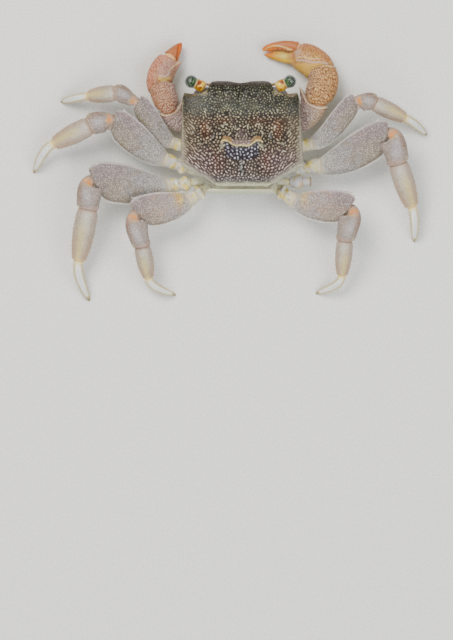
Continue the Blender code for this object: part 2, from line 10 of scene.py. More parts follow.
import bpy
import numpy as np
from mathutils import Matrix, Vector


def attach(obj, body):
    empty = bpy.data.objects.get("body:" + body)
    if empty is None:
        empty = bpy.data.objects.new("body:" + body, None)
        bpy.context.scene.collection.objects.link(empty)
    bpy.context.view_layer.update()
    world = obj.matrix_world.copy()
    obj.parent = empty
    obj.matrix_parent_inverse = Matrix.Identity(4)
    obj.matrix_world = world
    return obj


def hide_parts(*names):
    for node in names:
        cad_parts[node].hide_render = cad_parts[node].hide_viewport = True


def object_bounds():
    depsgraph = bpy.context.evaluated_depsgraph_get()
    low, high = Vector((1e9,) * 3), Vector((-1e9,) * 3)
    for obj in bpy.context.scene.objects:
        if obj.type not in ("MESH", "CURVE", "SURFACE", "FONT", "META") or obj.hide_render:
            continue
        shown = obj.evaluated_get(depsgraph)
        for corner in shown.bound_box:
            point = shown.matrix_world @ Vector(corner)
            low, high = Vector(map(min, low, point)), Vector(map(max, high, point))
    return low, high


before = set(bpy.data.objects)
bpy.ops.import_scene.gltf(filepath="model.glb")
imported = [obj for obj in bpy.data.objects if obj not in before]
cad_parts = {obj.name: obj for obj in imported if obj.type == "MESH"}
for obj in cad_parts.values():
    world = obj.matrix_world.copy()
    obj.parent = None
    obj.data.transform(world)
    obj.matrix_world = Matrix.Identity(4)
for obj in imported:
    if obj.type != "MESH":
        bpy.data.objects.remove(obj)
cad_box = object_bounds()

MM = 0.001
GAP = 0.3
BODY_PLACE = np.array((-2.08, -6.65, 0.0))
UP = np.array((0.0, 0.0, 1.0))
LEFT, RIGHT = 1, -1
SIDES = ((LEFT, "left"), (RIGHT, "right"))


# Curves, frames and fixed randomness

def unit(vector):
    """The same direction at length one, for one vector or rows of them."""
    vector = np.asarray(vector, float)
    return vector / np.linalg.norm(vector, axis=-1, keepdims=True)


def soft(value, low, high):
    """0 below low, 1 above high and a smooth cubic step between; low may lie above high."""
    t = np.clip((value - low) / (high - low), 0, 1)
    return t * t * (3 - 2 * t)


def hill(value, middle, width):
    """1 at the middle, falling away on both sides as a bell of that width."""
    return np.exp(-((value - middle) / width) ** 2)


def ripple(angle):
    """Even wave from 0 to 1 and back: (1 + cos(angle)) / 2."""
    return 0.5 + 0.5 * np.cos(angle)


def patch(x, y, place, radii):
    """Bell-shaped spot in the plan, 1 at its place."""
    return np.exp(-((x - place[0]) / radii[0]) ** 2 - ((y - place[1]) / radii[1]) ** 2)


def to_line(x, y, corners):
    """Distance in the plan from the nearest place of a line with corners."""
    best = np.full(np.shape(x), 99.0)
    for start, end in zip(corners, corners[1:]):
        step = np.subtract(end, start)
        t = np.clip(((x - start[0]) * step[0] + (y - start[1]) * step[1]) / (step @ step), 0, 1)
        best = np.minimum(best, np.hypot(x - start[0] - t * step[0], y - start[1] - t * step[1]))
    return best


def profile(s, pairs):
    """Value at each place s on a cubic through the (place, value) pairs."""
    places, values = np.array(pairs, float).T
    steps = np.diff(places)
    rises = np.diff(values) / steps
    slopes = np.concatenate((rises[:1], np.zeros(len(steps) - 1), rises[-1:]))
    same_way = rises[1:] * rises[:-1] > 0
    between = 2 * rises[1:] * rises[:-1] / np.where(same_way, rises[1:] + rises[:-1], 1)
    slopes[1:-1] = np.where(same_way, between, 0)
    s = np.clip(np.asarray(s, float), places[0], places[-1])
    k = np.clip(np.searchsorted(places, s, side="right") - 1, 0, len(steps) - 1)
    t = (s - places[k]) / steps[k]
    return ((2 * t**3 - 3 * t**2 + 1) * values[k] + (t**3 - 2 * t**2 + t) * steps[k] * slopes[k]
            + (3 * t**2 - 2 * t**3) * values[k + 1] + (t**3 - t**2) * steps[k] * slopes[k + 1])


def path_between(start, end, leave, arrive, places, swing=1.0):
    """Cubic path that leaves start and reaches end along the two given directions."""
    start, end = np.array(start, float), np.array(end, float)
    leave, arrive = unit(leave), unit(arrive)
    start, end = start + leave * GAP / 2, end - arrive * GAP / 2
    reach = np.linalg.norm(end - start)
    t = np.asarray(places)[:, None]
    leave = leave * swing
    points = ((2 * t**3 - 3 * t**2 + 1) * start + (t**3 - 2 * t**2 + t) * reach * leave
              + (3 * t**2 - 2 * t**3) * end + (t**3 - t**2) * reach * arrive)
    rates = ((6 * t**2 - 6 * t) * start + (3 * t**2 - 4 * t + 1) * reach * leave
             + (6 * t - 6 * t**2) * end + (3 * t**2 - 2 * t) * reach * arrive)
    return points, rates / np.linalg.norm(rates, axis=1)[:, None]


def chance(cell, seed):
    """A fixed number from 0 to 1 for each whole-number cell, by a sine's far digits."""
    mixed = cell @ np.array((127.1, 311.7, 74.7))[:cell.shape[-1]] + seed * 17.31
    value = np.sin(mixed) * 4375.5453
    return value - np.floor(value)


def cells(points, size, seed, jitter=0.8):
    """Nearest and second nearest of jittered lattice points, and the nearest one's number."""
    points = np.asarray(points, float) / size
    base = np.floor(points)
    axes = points.shape[-1]
    first = np.full(points.shape[:-1], 9.0)
    second, mark = first.copy(), first.copy()
    for step in np.stack(np.meshgrid(*[(-1, 0, 1)] * axes, indexing="ij"), -1).reshape(-1, axes):
        cell = base + step
        away = np.stack([chance(cell, seed + 3 * k) for k in range(axes)], axis=-1) - 0.5
        gap = np.linalg.norm(cell + 0.5 + away * jitter - points, axis=-1)
        second = np.minimum(np.maximum(gap, first), second)
        mark = np.where(gap < first, chance(cell, seed + 11), mark)
        first = np.minimum(first, gap)
    return first * size, second * size, mark


def drawn(index, row, seed):
    """A fixed number from 0 to 1 for each whole number of a row."""
    return chance(np.stack((index, index * 0 + row), 1), seed)


def granules(points, size, height, seed):
    """Heights of round beads spread over a surface: a dome inside each lattice point's reach."""
    near, _, mark = cells(points, size, seed)
    radius = size * 0.46 * (0.6 + 0.6 * mark)
    return height * (0.5 + 0.7 * mark) * np.sqrt(np.clip(1 - (near / radius) ** 2, 0, 1))


def waves(points, size, seed=0):
    """Slow smooth unevenness from -1 to 1: three crossed sine waves, bent by each other."""
    p = np.asarray(points, float) / size + seed * 1.7
    a = np.sin(2.1 * p[..., 0] + 1.3 * np.sin(1.7 * p[..., 1] + seed))
    b = np.sin(2.3 * p[..., 1] + 1.1 * np.sin(1.9 * p[..., -1] + 2 * a))
    c = np.sin(1.9 * p[..., -1] + 1.2 * np.sin(2.2 * p[..., 0] + 2 * b))
    return (a + b + c) / 3


# Colours: sRGB numbers in, linear colour out

def colour(*rgb):
    """Linear colour of an sRGB triple from 0 to 255."""
    c = np.array(rgb, float) / 255
    return np.where(c <= 0.04045, c / 12.92, ((c + 0.055) / 1.055) ** 2.4)


def layered(paint, *layers):
    """Linear colours under layers, each an sRGB triple or linear colours, and its share."""
    for layer, share in layers:
        share = np.clip(np.asarray(share, float), 0, 1)[..., None]
        layer = colour(*layer) if isinstance(layer, tuple) else layer
        paint = paint * (1 - share) + layer * share
    return paint


def painted(places, ground, *layers):
    """Colours for every place of an array of points: an sRGB ground, then layers over it."""
    return layered(colour(*ground) + 0 * places, *layers)


# Tubes: rings of points round a path

# out: outward directions; s: share of the path; front and top: cosine and sine of the angle
Tube = namedtuple("Tube", "rings out s angle turn front top centre heading half side")


def tube(path, s, half, depth, side=LEFT, roll=0.0, sides=48, square=1.0, across=None):
    """Super-ellipse rings round a path, their outward directions and the frame they stand in."""
    points, headings = path
    if across is None:
        across = side * np.cross(headings, UP)
    else:
        across = np.broadcast_to(np.array(across, float), points.shape)
    across = unit(across)
    top = side * np.cross(across, headings)
    turn = np.radians(roll) * np.ones(len(points))
    front = across * np.cos(turn)[:, None] + top * np.sin(turn)[:, None]
    top = top * np.cos(turn)[:, None] - across * np.sin(turn)[:, None]
    angle = np.arange(sides) * 2 * np.pi / sides
    cosine, sine = np.cos(angle), np.sin(angle)
    wide, high = (np.sign(wave) * np.abs(wave) ** square for wave in (cosine, sine))
    rings = (points[:, None] + front[:, None] * (half[:, None] * wide)[..., None]
             + top[:, None] * (depth[:, None] * high)[..., None])
    out = unit(front[:, None] * (depth[:, None] * cosine)[..., None]
               + top[:, None] * (half[:, None] * sine)[..., None])
    return Tube(rings, out, np.asarray(s)[:, None], angle[None], np.degrees(angle)[None],
                cosine[None], sine[None], points, headings, half, side)


def straight(points, way):
    """Path through points that all head one way."""
    return points, np.broadcast_to(unit(way), points.shape)


def raised(form, height):
    """A tube's rings moved outwards by the given heights."""
    return form.rings + form.out * height[..., None]


def pulled(points, place, reach, way, power):
    """Points near a place drawn out along a direction, most at the place itself."""
    near = np.clip(1 - np.linalg.norm(points - place, axis=-1) / reach, 0, 1) ** power
    return points + near[..., None] * np.asarray(way, float)


def rows(count, crowd=0.0):
    """Places from 0 to 1 along a piece, closer together at both ends by the given share."""
    t = np.linspace(0, 1, count)
    return t - crowd * np.sin(2 * np.pi * t) / (2 * np.pi)


def lipped(rings, lip, sunk):
    """Rings with a rounded lip at each end and a shallow socket inside it."""
    def end(ring, inside):
        centre = ring.mean(axis=0)
        inward = unit(inside.mean(axis=0) - centre)
        scale = ((0.96, -0.35), (0.88, -0.5), (0.8, -0.3), (0.72, 1.2), (0.6, 2.4))
        return [centre + (ring - centre) * k + inward * (lip * d if d < 0 else sunk * d / 2.4)
                for k, d in scale]
    first = end(rings[0], rings[2])[::-1]
    last = end(rings[-1], rings[-3])
    return np.concatenate((first, rings, last))


def rounded_off(rings, bulge):
    """Rings closed at each end by a low dome that bulges by a share of the end's own size."""
    def end(ring, inside):
        centre = ring.mean(axis=0)
        outward = unit(centre - inside.mean(axis=0))
        size = np.linalg.norm(ring - centre, axis=1).mean() * bulge
        lift = np.radians((20, 40, 60, 75, 85))
        return [centre + (ring - centre) * np.cos(a) + outward * size * np.sin(a) for a in lift]
    return np.concatenate((end(rings[0], rings[2])[::-1], rings, end(rings[-1], rings[-3])))


# Meshes

def padded_like(values, count):
    """Values for a piece's rings, repeated onto the rings that its ends were given."""
    extra = (count - len(values)) // 2
    return np.concatenate((values[:1].repeat(extra, 0), values, values[-1:].repeat(extra, 0)))


def build(name, points, faces, finish, nodes=(), paint=None, marks=None):
    """A smooth mesh object from points in body millimetres and faces of four or three corners."""
    place = (points + BODY_PLACE) * MM
    corners = [np.concatenate((f, f[:, 2:3]), axis=1) if f.shape[1] == 3 else f for f in faces]
    tri = np.concatenate(corners)
    a, b, c, d = (place[tri[:, k]] for k in range(4))
    volume = (np.cross(a, b) * c).sum() + (np.cross(a, c) * d).sum()
    if volume < 0:
        faces = [f[:, ::-1] for f in faces]
    mesh = bpy.data.meshes.new(name)
    mesh.vertices.add(len(place))
    mesh.vertices.foreach_set("co", place.ravel())
    mesh.loops.add(sum(f.size for f in faces))
    mesh.loops.foreach_set("vertex_index", np.concatenate([f.ravel() for f in faces]))
    totals = np.concatenate([np.full(len(f), f.shape[1]) for f in faces])
    mesh.polygons.add(len(totals))
    mesh.polygons.foreach_set("loop_start", np.cumsum(totals) - totals)
    mesh.polygons.foreach_set("use_smooth", np.ones(len(totals), bool))
    mesh.update(calc_edges=True)
    mesh.validate()
    if paint is not None:
        layer = mesh.attributes.new("paint", "FLOAT_COLOR", "POINT")
        full = np.concatenate((paint, np.ones((len(paint), 1))), axis=1)
        layer.data.foreach_set("color", full.astype(np.float32).ravel())
    for word, values in (marks or {}).items():
        layer = mesh.attributes.new(word, "FLOAT", "POINT")
        layer.data.foreach_set("value", np.asarray(values, np.float32).ravel())
    mesh.materials.append(finish)
    thing = bpy.data.objects.new(name, mesh)
    bpy.context.scene.collection.objects.link(thing)
    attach(thing, "root")
    if nodes:
        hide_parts(*nodes)
    return thing


def ring_faces(index):
    """Quads that join each ring of point numbers to the next."""
    after = np.roll(index, -1, axis=1)
    return np.stack((index[:-1], after[:-1], after[1:], index[1:]), axis=-1).reshape(-1, 4)


def piece(name, rings, finish, nodes=(), paint=None, marks=None):
    """One closed piece from rings of points, each end closed to a point."""
    count, sides = rings.shape[:2]
    index = np.arange(sides)
    after = np.roll(index, -1)
    low, high = count * sides, count * sides + 1
    last = (count - 1) * sides
    caps = np.concatenate((np.stack((after, index, np.full(sides, low)), axis=1),
                           np.stack((last + index, last + after, np.full(sides, high)), axis=1)))
    points = np.concatenate((rings.reshape(-1, 3), rings[:1].mean(axis=1), rings[-1:].mean(axis=1)))

    def flat(values):
        values = np.broadcast_to(values, (*np.shape(values)[:1], sides, *np.shape(values)[2:]))
        values = padded_like(values, count)
        ends = (values[:1].mean(axis=1), values[-1:].mean(axis=1))
        return np.concatenate((values.reshape(count * sides, *values.shape[2:]), *ends))
    rounds = ring_faces(np.arange(count * sides).reshape(count, sides))
    marks = {word: flat(values) for word, values in (marks or {}).items()}
    build(name, points, [rounds, caps], finish, nodes,
          None if paint is None else flat(paint), marks)


HAIR_DROOP = 0.25


def hairs(name, roots, ways, lengths, finish, slot, radius):
    """Many tapering hairs in one mesh: each a thin three-sided cone that bends towards its end.

    Hairs that would reach below the floor or beyond the solids' outermost points are left out.
    """
    count = len(roots)
    ways = unit(ways)
    lengths = np.broadcast_to(np.asarray(lengths, float), (count,))
    turn = drawn(np.arange(count), 0, 0) * 2 * np.pi
    odd = unit(np.cross(ways, np.stack((np.cos(turn), np.sin(turn), 0.3 + 0 * turn), axis=1)))
    other = np.cross(ways, odd)
    t = np.array((0.0, 0.45, 0.8))
    bend = (odd * HAIR_DROOP)[:, None] * (t**2)[None, :, None]
    centre = roots[:, None] + (ways[:, None] * t[None, :, None] + bend) * lengths[:, None, None]
    spin = np.arange(3) * 2 * np.pi / 3
    ring = odd[:, None] * np.cos(spin)[None, :, None] + other[:, None] * np.sin(spin)[None, :, None]
    width = radius * np.array((1.0, 0.75, 0.4))
    points = centre[:, :, None] + ring[:, None] * width[None, :, None, None]
    tips = roots + (ways + odd * HAIR_DROOP) * lengths[:, None]
    points = np.concatenate((points.reshape(count, 9, 3), roots[:, None] - ways[:, None] * 0.02,
                             tips[:, None]), axis=1)
    low, high = (np.array(corner) / MM - BODY_PLACE for corner in cad_box)
    points = points[((tips >= low) & (tips <= high)).all(axis=1)]
    count = len(points)
    quads = ring_faces(np.arange(9).reshape(3, 3))
    caps = np.array([(1, 0, 9), (2, 1, 9), (0, 2, 9), (6, 7, 10), (7, 8, 10), (8, 6, 10)])
    step = (np.arange(count) * points.shape[1])[:, None, None]
    faces = [(part[None] + step).reshape(-1, part.shape[1]) for part in (quads, caps)]
    build(name, points.reshape(-1, 3), faces, finish)


# Materials: painted colour, then mottling, pits and the legs' net, in Object coordinates

def feed(tree, made, inputs):
    """A node's inputs: linked where a socket is given, and set otherwise."""
    for word, value in inputs.items():
        if isinstance(value, bpy.types.NodeSocket):
            tree.links.new(value, made.inputs[word])
        else:
            made.inputs[word].default_value = value


def node(tree, kind, inputs, **settings):
    """One shader node with its settings and its inputs."""
    made = tree.nodes.new(kind)
    for word, value in settings.items():
        setattr(made, word, value)
    feed(tree, made, inputs)
    return made


def group(name, takes, gives):
    """An empty node group with named inputs and outputs, and its two end nodes."""
    tree = bpy.data.node_groups.new(name, "ShaderNodeTree")
    for word, kind in takes:
        tree.interface.new_socket(word, in_out="INPUT", socket_type="NodeSocket" + kind)
    for word, kind in gives:
        tree.interface.new_socket(word, in_out="OUTPUT", socket_type="NodeSocket" + kind)
    return tree, tree.nodes.new("NodeGroupInput").outputs, tree.nodes.new("NodeGroupOutput")


def place_in_mm(tree):
    """Object coordinates counted in millimetres."""
    where = node(tree, "ShaderNodeTexCoord", {}).outputs["Object"]
    return node(tree, "ShaderNodeVectorMath", {0: where, 3: 1 / MM}, operation="SCALE").outputs[0]


def maths(tree, operation, *values, clamp=False):
    """A Math node's result."""
    return node(tree, "ShaderNodeMath", dict(enumerate(values)), operation=operation,
                use_clamp=clamp).outputs[0]


def tint(tree, base, layer, amount):
    """Colour mixed with another by an amount."""
    return node(tree, "ShaderNodeMix", {0: amount, 6: base, 7: layer}, data_type="RGBA").outputs[2]


def grain_group():
    """Mottling by slow noise, speckle by fine noise and small pits by Voronoi distance."""
    tree, takes, gives = group(
        "shell_grain",
        (("Colour", "Color"), ("Mottle", "Float"), ("Speckle", "Float"), ("Pit Size", "Float"),
         ("Pits", "Float"), ("Roughness", "Float")),
        (("Colour", "Color"), ("Roughness", "Float"), ("Height", "Float")))
    where = place_in_mm(tree)
    slow = node(tree, "ShaderNodeTexNoise", {"Vector": where, "Scale": 0.8, "Detail": 3.0})
    fine = node(tree, "ShaderNodeTexNoise", {"Vector": where, "Scale": 5.5, "Detail": 2.0})
    pits = maths(tree, "DIVIDE", 1.0, takes["Pit Size"])
    pit = node(tree, "ShaderNodeTexVoronoi", {"Vector": where, "Scale": pits})
    hole = maths(tree, "SUBTRACT", 1.0, maths(tree, "MULTIPLY", pit.outputs["Distance"], 2.6),
                 clamp=True)
    hole = maths(tree, "MULTIPLY", hole, takes["Pits"])
    slow_part = maths(tree, "SUBTRACT", slow.outputs[0], 0.5)
    slow_part = maths(tree, "MULTIPLY", slow_part, takes["Mottle"])
    fine_part = maths(tree, "SUBTRACT", fine.outputs[0], 0.5)
    fine_part = maths(tree, "MULTIPLY", fine_part, takes["Speckle"])
    both = maths(tree, "ADD", slow_part, fine_part)
    light = maths(tree, "ADD", 1.0, maths(tree, "MULTIPLY", both, 2.4))
    light = maths(tree, "SUBTRACT", light, maths(tree, "MULTIPLY", hole, 0.45))
    shade = node(tree, "ShaderNodeVectorMath", {0: takes["Colour"], 3: light}, operation="SCALE")
    rough = maths(tree, "ADD", takes["Roughness"], maths(tree, "MULTIPLY", fine_part, 0.9))
    rough = maths(tree, "ADD", rough, maths(tree, "MULTIPLY", hole, 0.2), clamp=True)
    height = maths(tree, "SUBTRACT", maths(tree, "MULTIPLY", fine.outputs[0], 0.5), hole)
    feed(tree, gives, {"Colour": shade.outputs[0], "Roughness": rough, "Height": height})
    return tree


def net_group():
    """Net of darker lines between Voronoi cells, with a pale spot at each cell's middle."""
    tree, takes, gives = group(
        "pigment_net",
        (("Colour", "Color"), ("Line", "Color"), ("Spot", "Color"), ("Size", "Float"),
         ("Amount", "Float")),
        (("Colour", "Color"), ("Height", "Float")))
    where = place_in_mm(tree)
    bend = node(tree, "ShaderNodeTexNoise", {"Vector": where, "Scale": 1.6, "Detail": 2.0})
    bend = node(tree, "ShaderNodeVectorMath", {0: bend.outputs["Color"], 3: 0.3},
                operation="SCALE").outputs[0]
    where = node(tree, "ShaderNodeVectorMath", {0: where, 1: bend}, operation="ADD").outputs[0]
    scale = maths(tree, "DIVIDE", 1.0, takes["Size"])
    edge = node(tree, "ShaderNodeTexVoronoi", {"Vector": where, "Scale": scale},
                feature="DISTANCE_TO_EDGE").outputs["Distance"]
    middle = node(tree, "ShaderNodeTexVoronoi", {"Vector": where, "Scale": scale})
    line = maths(tree, "SUBTRACT", 1.0, maths(tree, "MULTIPLY", edge, 4.5), clamp=True)
    spot = maths(tree, "SUBTRACT", 1.0, maths(tree, "MULTIPLY", middle.outputs["Distance"], 2.4),
                 clamp=True)
    some = maths(tree, "GREATER_THAN",
                 node(tree, "ShaderNodeSeparateColor",
                      {0: middle.outputs["Color"]}).outputs[0], 0.2)
    spot = maths(tree, "MULTIPLY", maths(tree, "MULTIPLY", spot, some), takes["Amount"])
    line = maths(tree, "MULTIPLY", line, takes["Amount"])
    shade = tint(tree, takes["Colour"], takes["Line"], line)
    shade = tint(tree, shade, takes["Spot"], spot)
    feed(tree, gives, {"Colour": shade, "Height": maths(tree, "SUBTRACT", spot, line)})
    return tree


GRAIN, NET = grain_group(), net_group()


def shell_finish(name, roughness, mottle, speckle, pit_size, pits, relief, coat, net=None,
                 depth=1.25):
    """Shell material: painted colour, an optional net of pigment, depth of tone, grain and gloss."""
    made = bpy.data.materials.new(name)
    made.use_nodes = True
    tree = made.node_tree
    shade = node(tree, "ShaderNodeAttribute", {}, attribute_name="paint").outputs["Color"]
    extra = None
    if net:
        line, spot, size = net
        amount = node(tree, "ShaderNodeAttribute", {}, attribute_name="net").outputs["Fac"]
        web = node(tree, "ShaderNodeGroup",
                   {"Colour": shade, "Line": (*colour(*line), 1), "Spot": (*colour(*spot), 1),
                    "Size": size, "Amount": amount}, node_tree=NET)
        shade, extra = web.outputs["Colour"], web.outputs["Height"]
    shade = node(tree, "ShaderNodeGamma", {"Color": shade, "Gamma": depth}).outputs[0]
    grain = node(tree, "ShaderNodeGroup",
                 {"Colour": shade, "Mottle": mottle, "Speckle": speckle, "Pit Size": pit_size,
                  "Pits": pits, "Roughness": roughness}, node_tree=GRAIN)
    height = grain.outputs["Height"]
    if extra:
        height = maths(tree, "ADD", height, extra)
    bump = node(tree, "ShaderNodeBump", {"Height": height, "Distance": relief * MM,
                                         "Strength": 0.8})
    feed(tree, tree.nodes["Principled BSDF"], {
        "Base Color": grain.outputs["Colour"], "Roughness": grain.outputs["Roughness"],
        "Normal": bump.outputs["Normal"], "Specular IOR Level": 0.22, "Coat Weight": coat,
        "Coat Roughness": 0.16})
    return made


def plain_finish(name, rgb, roughness, **sockets):
    """Material of one colour with a little noise in its roughness and tone."""
    made = bpy.data.materials.new(name)
    made.use_nodes = True
    tree = made.node_tree
    grain = node(tree, "ShaderNodeTexNoise",
                 {"Vector": place_in_mm(tree), "Scale": 2.5, "Detail": 3.0}).outputs[0]
    base = colour(*rgb)
    shade = tint(tree, (*base * 0.75, 1), (*np.minimum(base * 1.25, 1), 1), grain)
    rough = maths(tree, "ADD", roughness - 0.08, maths(tree, "MULTIPLY", grain, 0.16))
    feed(tree, tree.nodes["Principled BSDF"], {"Base Color": shade, "Roughness": rough, **sockets})
    return made


def cornea_finish():
    """Clear skin of an eye, whitish where it is seen edge on: a painted rim of reflected light, set by
    the viewing angle.
    """
    made = plain_finish("cornea", (225, 235, 228), 0.14, IOR=1.3)
    tree = made.node_tree
    # painted reflection: the clear skin turns opaque white as it turns edge on to the view
    edge = node(tree, "ShaderNodeLayerWeight", {"Blend": 0.5}).outputs["Facing"]
    clear = maths(tree, "SUBTRACT", 1.0, maths(tree, "POWER", edge, 2.5), clamp=True)
    tree.links.new(clear, tree.nodes["Principled BSDF"].inputs["Transmission Weight"])
    return made


# Roughness, mottle, speckle, pit size, pits, relief and coat; a net's line, spot and size
CARAPACE_FINISH = shell_finish("carapace_shell", 0.42, 0.1, 0.16, 0.22, 0.25, 0.02, 0.05,
                               ((40, 36, 32), (170, 166, 148), 0.26), depth=1.4)
FACE_FINISH = shell_finish("face_shell", 0.5, 0.14, 0.2, 0.25, 0.5, 0.03, 0.03)
STERNUM_FINISH = shell_finish("sternum_shell", 0.34, 0.05, 0.05, 0.5, 0.1, 0.012, 0.1)
LEG_FINISH = shell_finish("leg_shell", 0.42, 0.12, 0.22, 0.3, 0.2, 0.02, 0.06,
                          ((122, 112, 106), (232, 228, 220), 0.3))
TIP_FINISH = shell_finish("leg_tip_shell", 0.36, 0.08, 0.08, 0.4, 0.1, 0.012, 0.1)
CLAW_FINISH = shell_finish("claw_shell", 0.5, 0.12, 0.2, 0.3, 0.35, 0.03, 0.03)
FINGER_FINISH = shell_finish("finger_shell", 0.42, 0.12, 0.14, 0.4, 0.2, 0.012, 0.03, depth=1.4)
SKIN_FINISH = shell_finish("joint_skin", 0.38, 0.2, 0.2, 0.25, 0.2, 0.03, 0.1)
STALK_FINISH = shell_finish("stalk_shell", 0.3, 0.16, 0.16, 0.4, 0.2, 0.015, 0.4)
EYE_FINISH = shell_finish("eye_core", 0.5, 0.2, 0.2, 0.12, 0.5, 0.01, 0.0, depth=1.1)
BRISTLE_FINISH = plain_finish("bristles", (150, 118, 72), 0.5)
SOFT_HAIR_FINISH = plain_finish("soft_hairs", (214, 196, 150), 0.55)
CORNEA_FINISH = cornea_finish()


# Back shell

FRONT_EDGE = ((0.0, -10.72), (1.0, -10.84), (2.2, -11.08), (4.4, -11.15), (5.5, -11.05),
              (6.05, -10.7), (6.35, -10.0), (6.7, -9.4), (7.4, -8.95), (8.6, -8.45),
              (9.6, -8.0), (10.3, -7.86), (10.75, -8.15), (11.25, -8.8), (11.5, -8.3))
BACK_EDGE = ((0.0, 9.9), (4.9, 9.9), (5.6, 9.55), (7.1, 8.45), (9.3, 7.35), (11.2, 6.6),
             (12.0, 5.8), (12.25, 4.6))
SIDE_WIDTH = ((-8.6, 11.5), (-7.2, 11.8), (-5.9, 11.78), (0.0, 12.0), (4.2, 12.25), (4.6, 12.25))
DOME_WIDTH = ((-11.2, 7.1), (-10.2, 7.4), (-9.2, 8.6), (-8.4, 11.6), (-7.2, 12.4),
              (4.2, 12.6), (5.6, 12.3), (6.5, 11.5), (7.3, 9.9), (8.4, 8.0), (9.4, 6.9),
              (9.9, 6.5))
MARGIN_HEIGHT = ((-11.2, 10.2), (-9.0, 10.6), (-8.4, 10.1), (0.0, 9.8), (6.5, 9.3), (9.9, 9.2))
CREST_HEIGHT = ((-11.2, 10.75), (-11.0, 11.05), (-10.5, 11.5), (-9.0, 12.4), (-8.7, 12.5),
                (-5.2, 13.15), (-0.4, 13.42), (4.2, 13.35), (7.3, 12.75), (9.4, 11.6),
                (9.9, 11.0))
LOBES = (  # rise, place and radii of each swelling (or dip) of the back, mirrored to both sides
    (0.3, (1.75, -9.1), (1.15, 0.65)), (0.28, (4.7, -8.9), (1.3, 0.6)),
    (-0.3, (0.0, -9.2), (0.38, 1.7)), (-0.2, (3.25, -9.0), (0.3, 0.9)),
    (0.16, (0.0, -1.6), (2.1, 2.3)), (0.12, (0.0, 3.2), (3.2, 1.3)), (-0.1, (3.9, 3.2), (0.5, 1.6)),
    (0.14, (7.2, 3.0), (2.6, 3.4)), (0.08, (8.0, -4.6), (2.2, 1.8)),
)
FLOOR_LEVEL, FLOOR_SHARE = 5.4, 0.775   # the shell's underside: its height and share of the width
SHELL_LEAN, SHELL_FRONT = -0.02, -11.15
EASED_TOP = (12.8, 13.5)   # heights between which the top is eased down


def shell_height(x, y):
    """Height of the back shell: an arch from crest to margin, then lobes, grooves and rims.

    The arch is margin + (crest - margin) * (1 - t^3.08)^0.325 with t the share of the width.
    """
    tables = (DOME_WIDTH, MARGIN_HEIGHT, CREST_HEIGHT)
    wide, margin, crest = (profile(y, pairs) for pairs in tables)
    t = np.clip(np.abs(x) / wide, 0, 0.998)
    z = margin + (crest - margin) * (1 - t**3.08) ** 0.325
    a = np.abs(x)
    lobes = sum(rise * patch(a, y, place, radii) for rise, place, radii in LOBES)
    cervical = -0.12 * hill(a - 2.9 - 0.1 * y, 0, 0.45) * soft(y, -6.5, -4.5) * soft(y, 1.6, -0.4)
    smile = y - smile_line(x)
    groove = -0.2 * hill(smile, -0.2, 0.5) * soft(a, 4.6, 3.2)
    bent = y + 0.35 * np.clip(a - 4.0, 0, 9) ** 1.2 - 1.6
    side_groove = -0.14 * hill(bent, 0, 0.5) * soft(a, 3.6, 4.6) * soft(a, 9.5, 7.0)
    rim = (0.12 * soft(y, 9.35, 9.6) - 0.16 * hill(y, 9.15, 0.22)) * soft(a, 6.6, 5.6)
    return z + lobes + cervical + groove + side_groove + rim


SMILE = ((0.0, 1.82), (1.2, 1.9), (1.7, 1.74), (2.4, 1.25), (3.1, 0.86), (3.6, 0.88), (4.2, 1.15))
SMILE_TOP = ((0.0, 0.62), (1.5, 0.62), (2.1, 0.3), (2.6, 0.02), (3.6, -0.1), (3.85, 0.3), (4.2, 0.9))


def smile_line(x):
    """Place along Y of the pale crescent's lower edge: lowest at the middle, up at its ends."""
    return profile(np.abs(x), SMILE)


PATTERN_STEP = 0.08
PATTERN_X, PATTERN_Y = (-13.1, 13.1), (-11.9, 10.7)
FLECK_SPACING, FINE_SPACING, LARGE_SPACING, STREAK_SPACING = 0.58, 0.42, 0.66, 0.48
STREAK_TURN, EDGE_TURN = 42.0, 66.0


def seat_of_heart(x, y):
    """Share of the dark purple seat behind the crescent, 1 inside and 0 outside."""
    a = np.abs(x)
    rear = 4.6 - 0.75 * soft(a, 1.2, 3.6)
    return soft(a, 3.5, 3.2) * soft(y - smile_line(x), 0.05, 0.3) * soft(y, rear + 0.15, rear - 0.15)


def flank_share(x, y):
    """1 on the flanks, where flecks draw out into oblique streaks, and 0 in the middle."""
    a = np.abs(x)
    return np.clip(soft(a, 8.6, 10.2) * soft(y, -6.5, -2.5) + 0.8 * soft(a + 0.7 * y, 9.6, 11.6)
                   * soft(y, 0.0, 2.0), 0, 1)


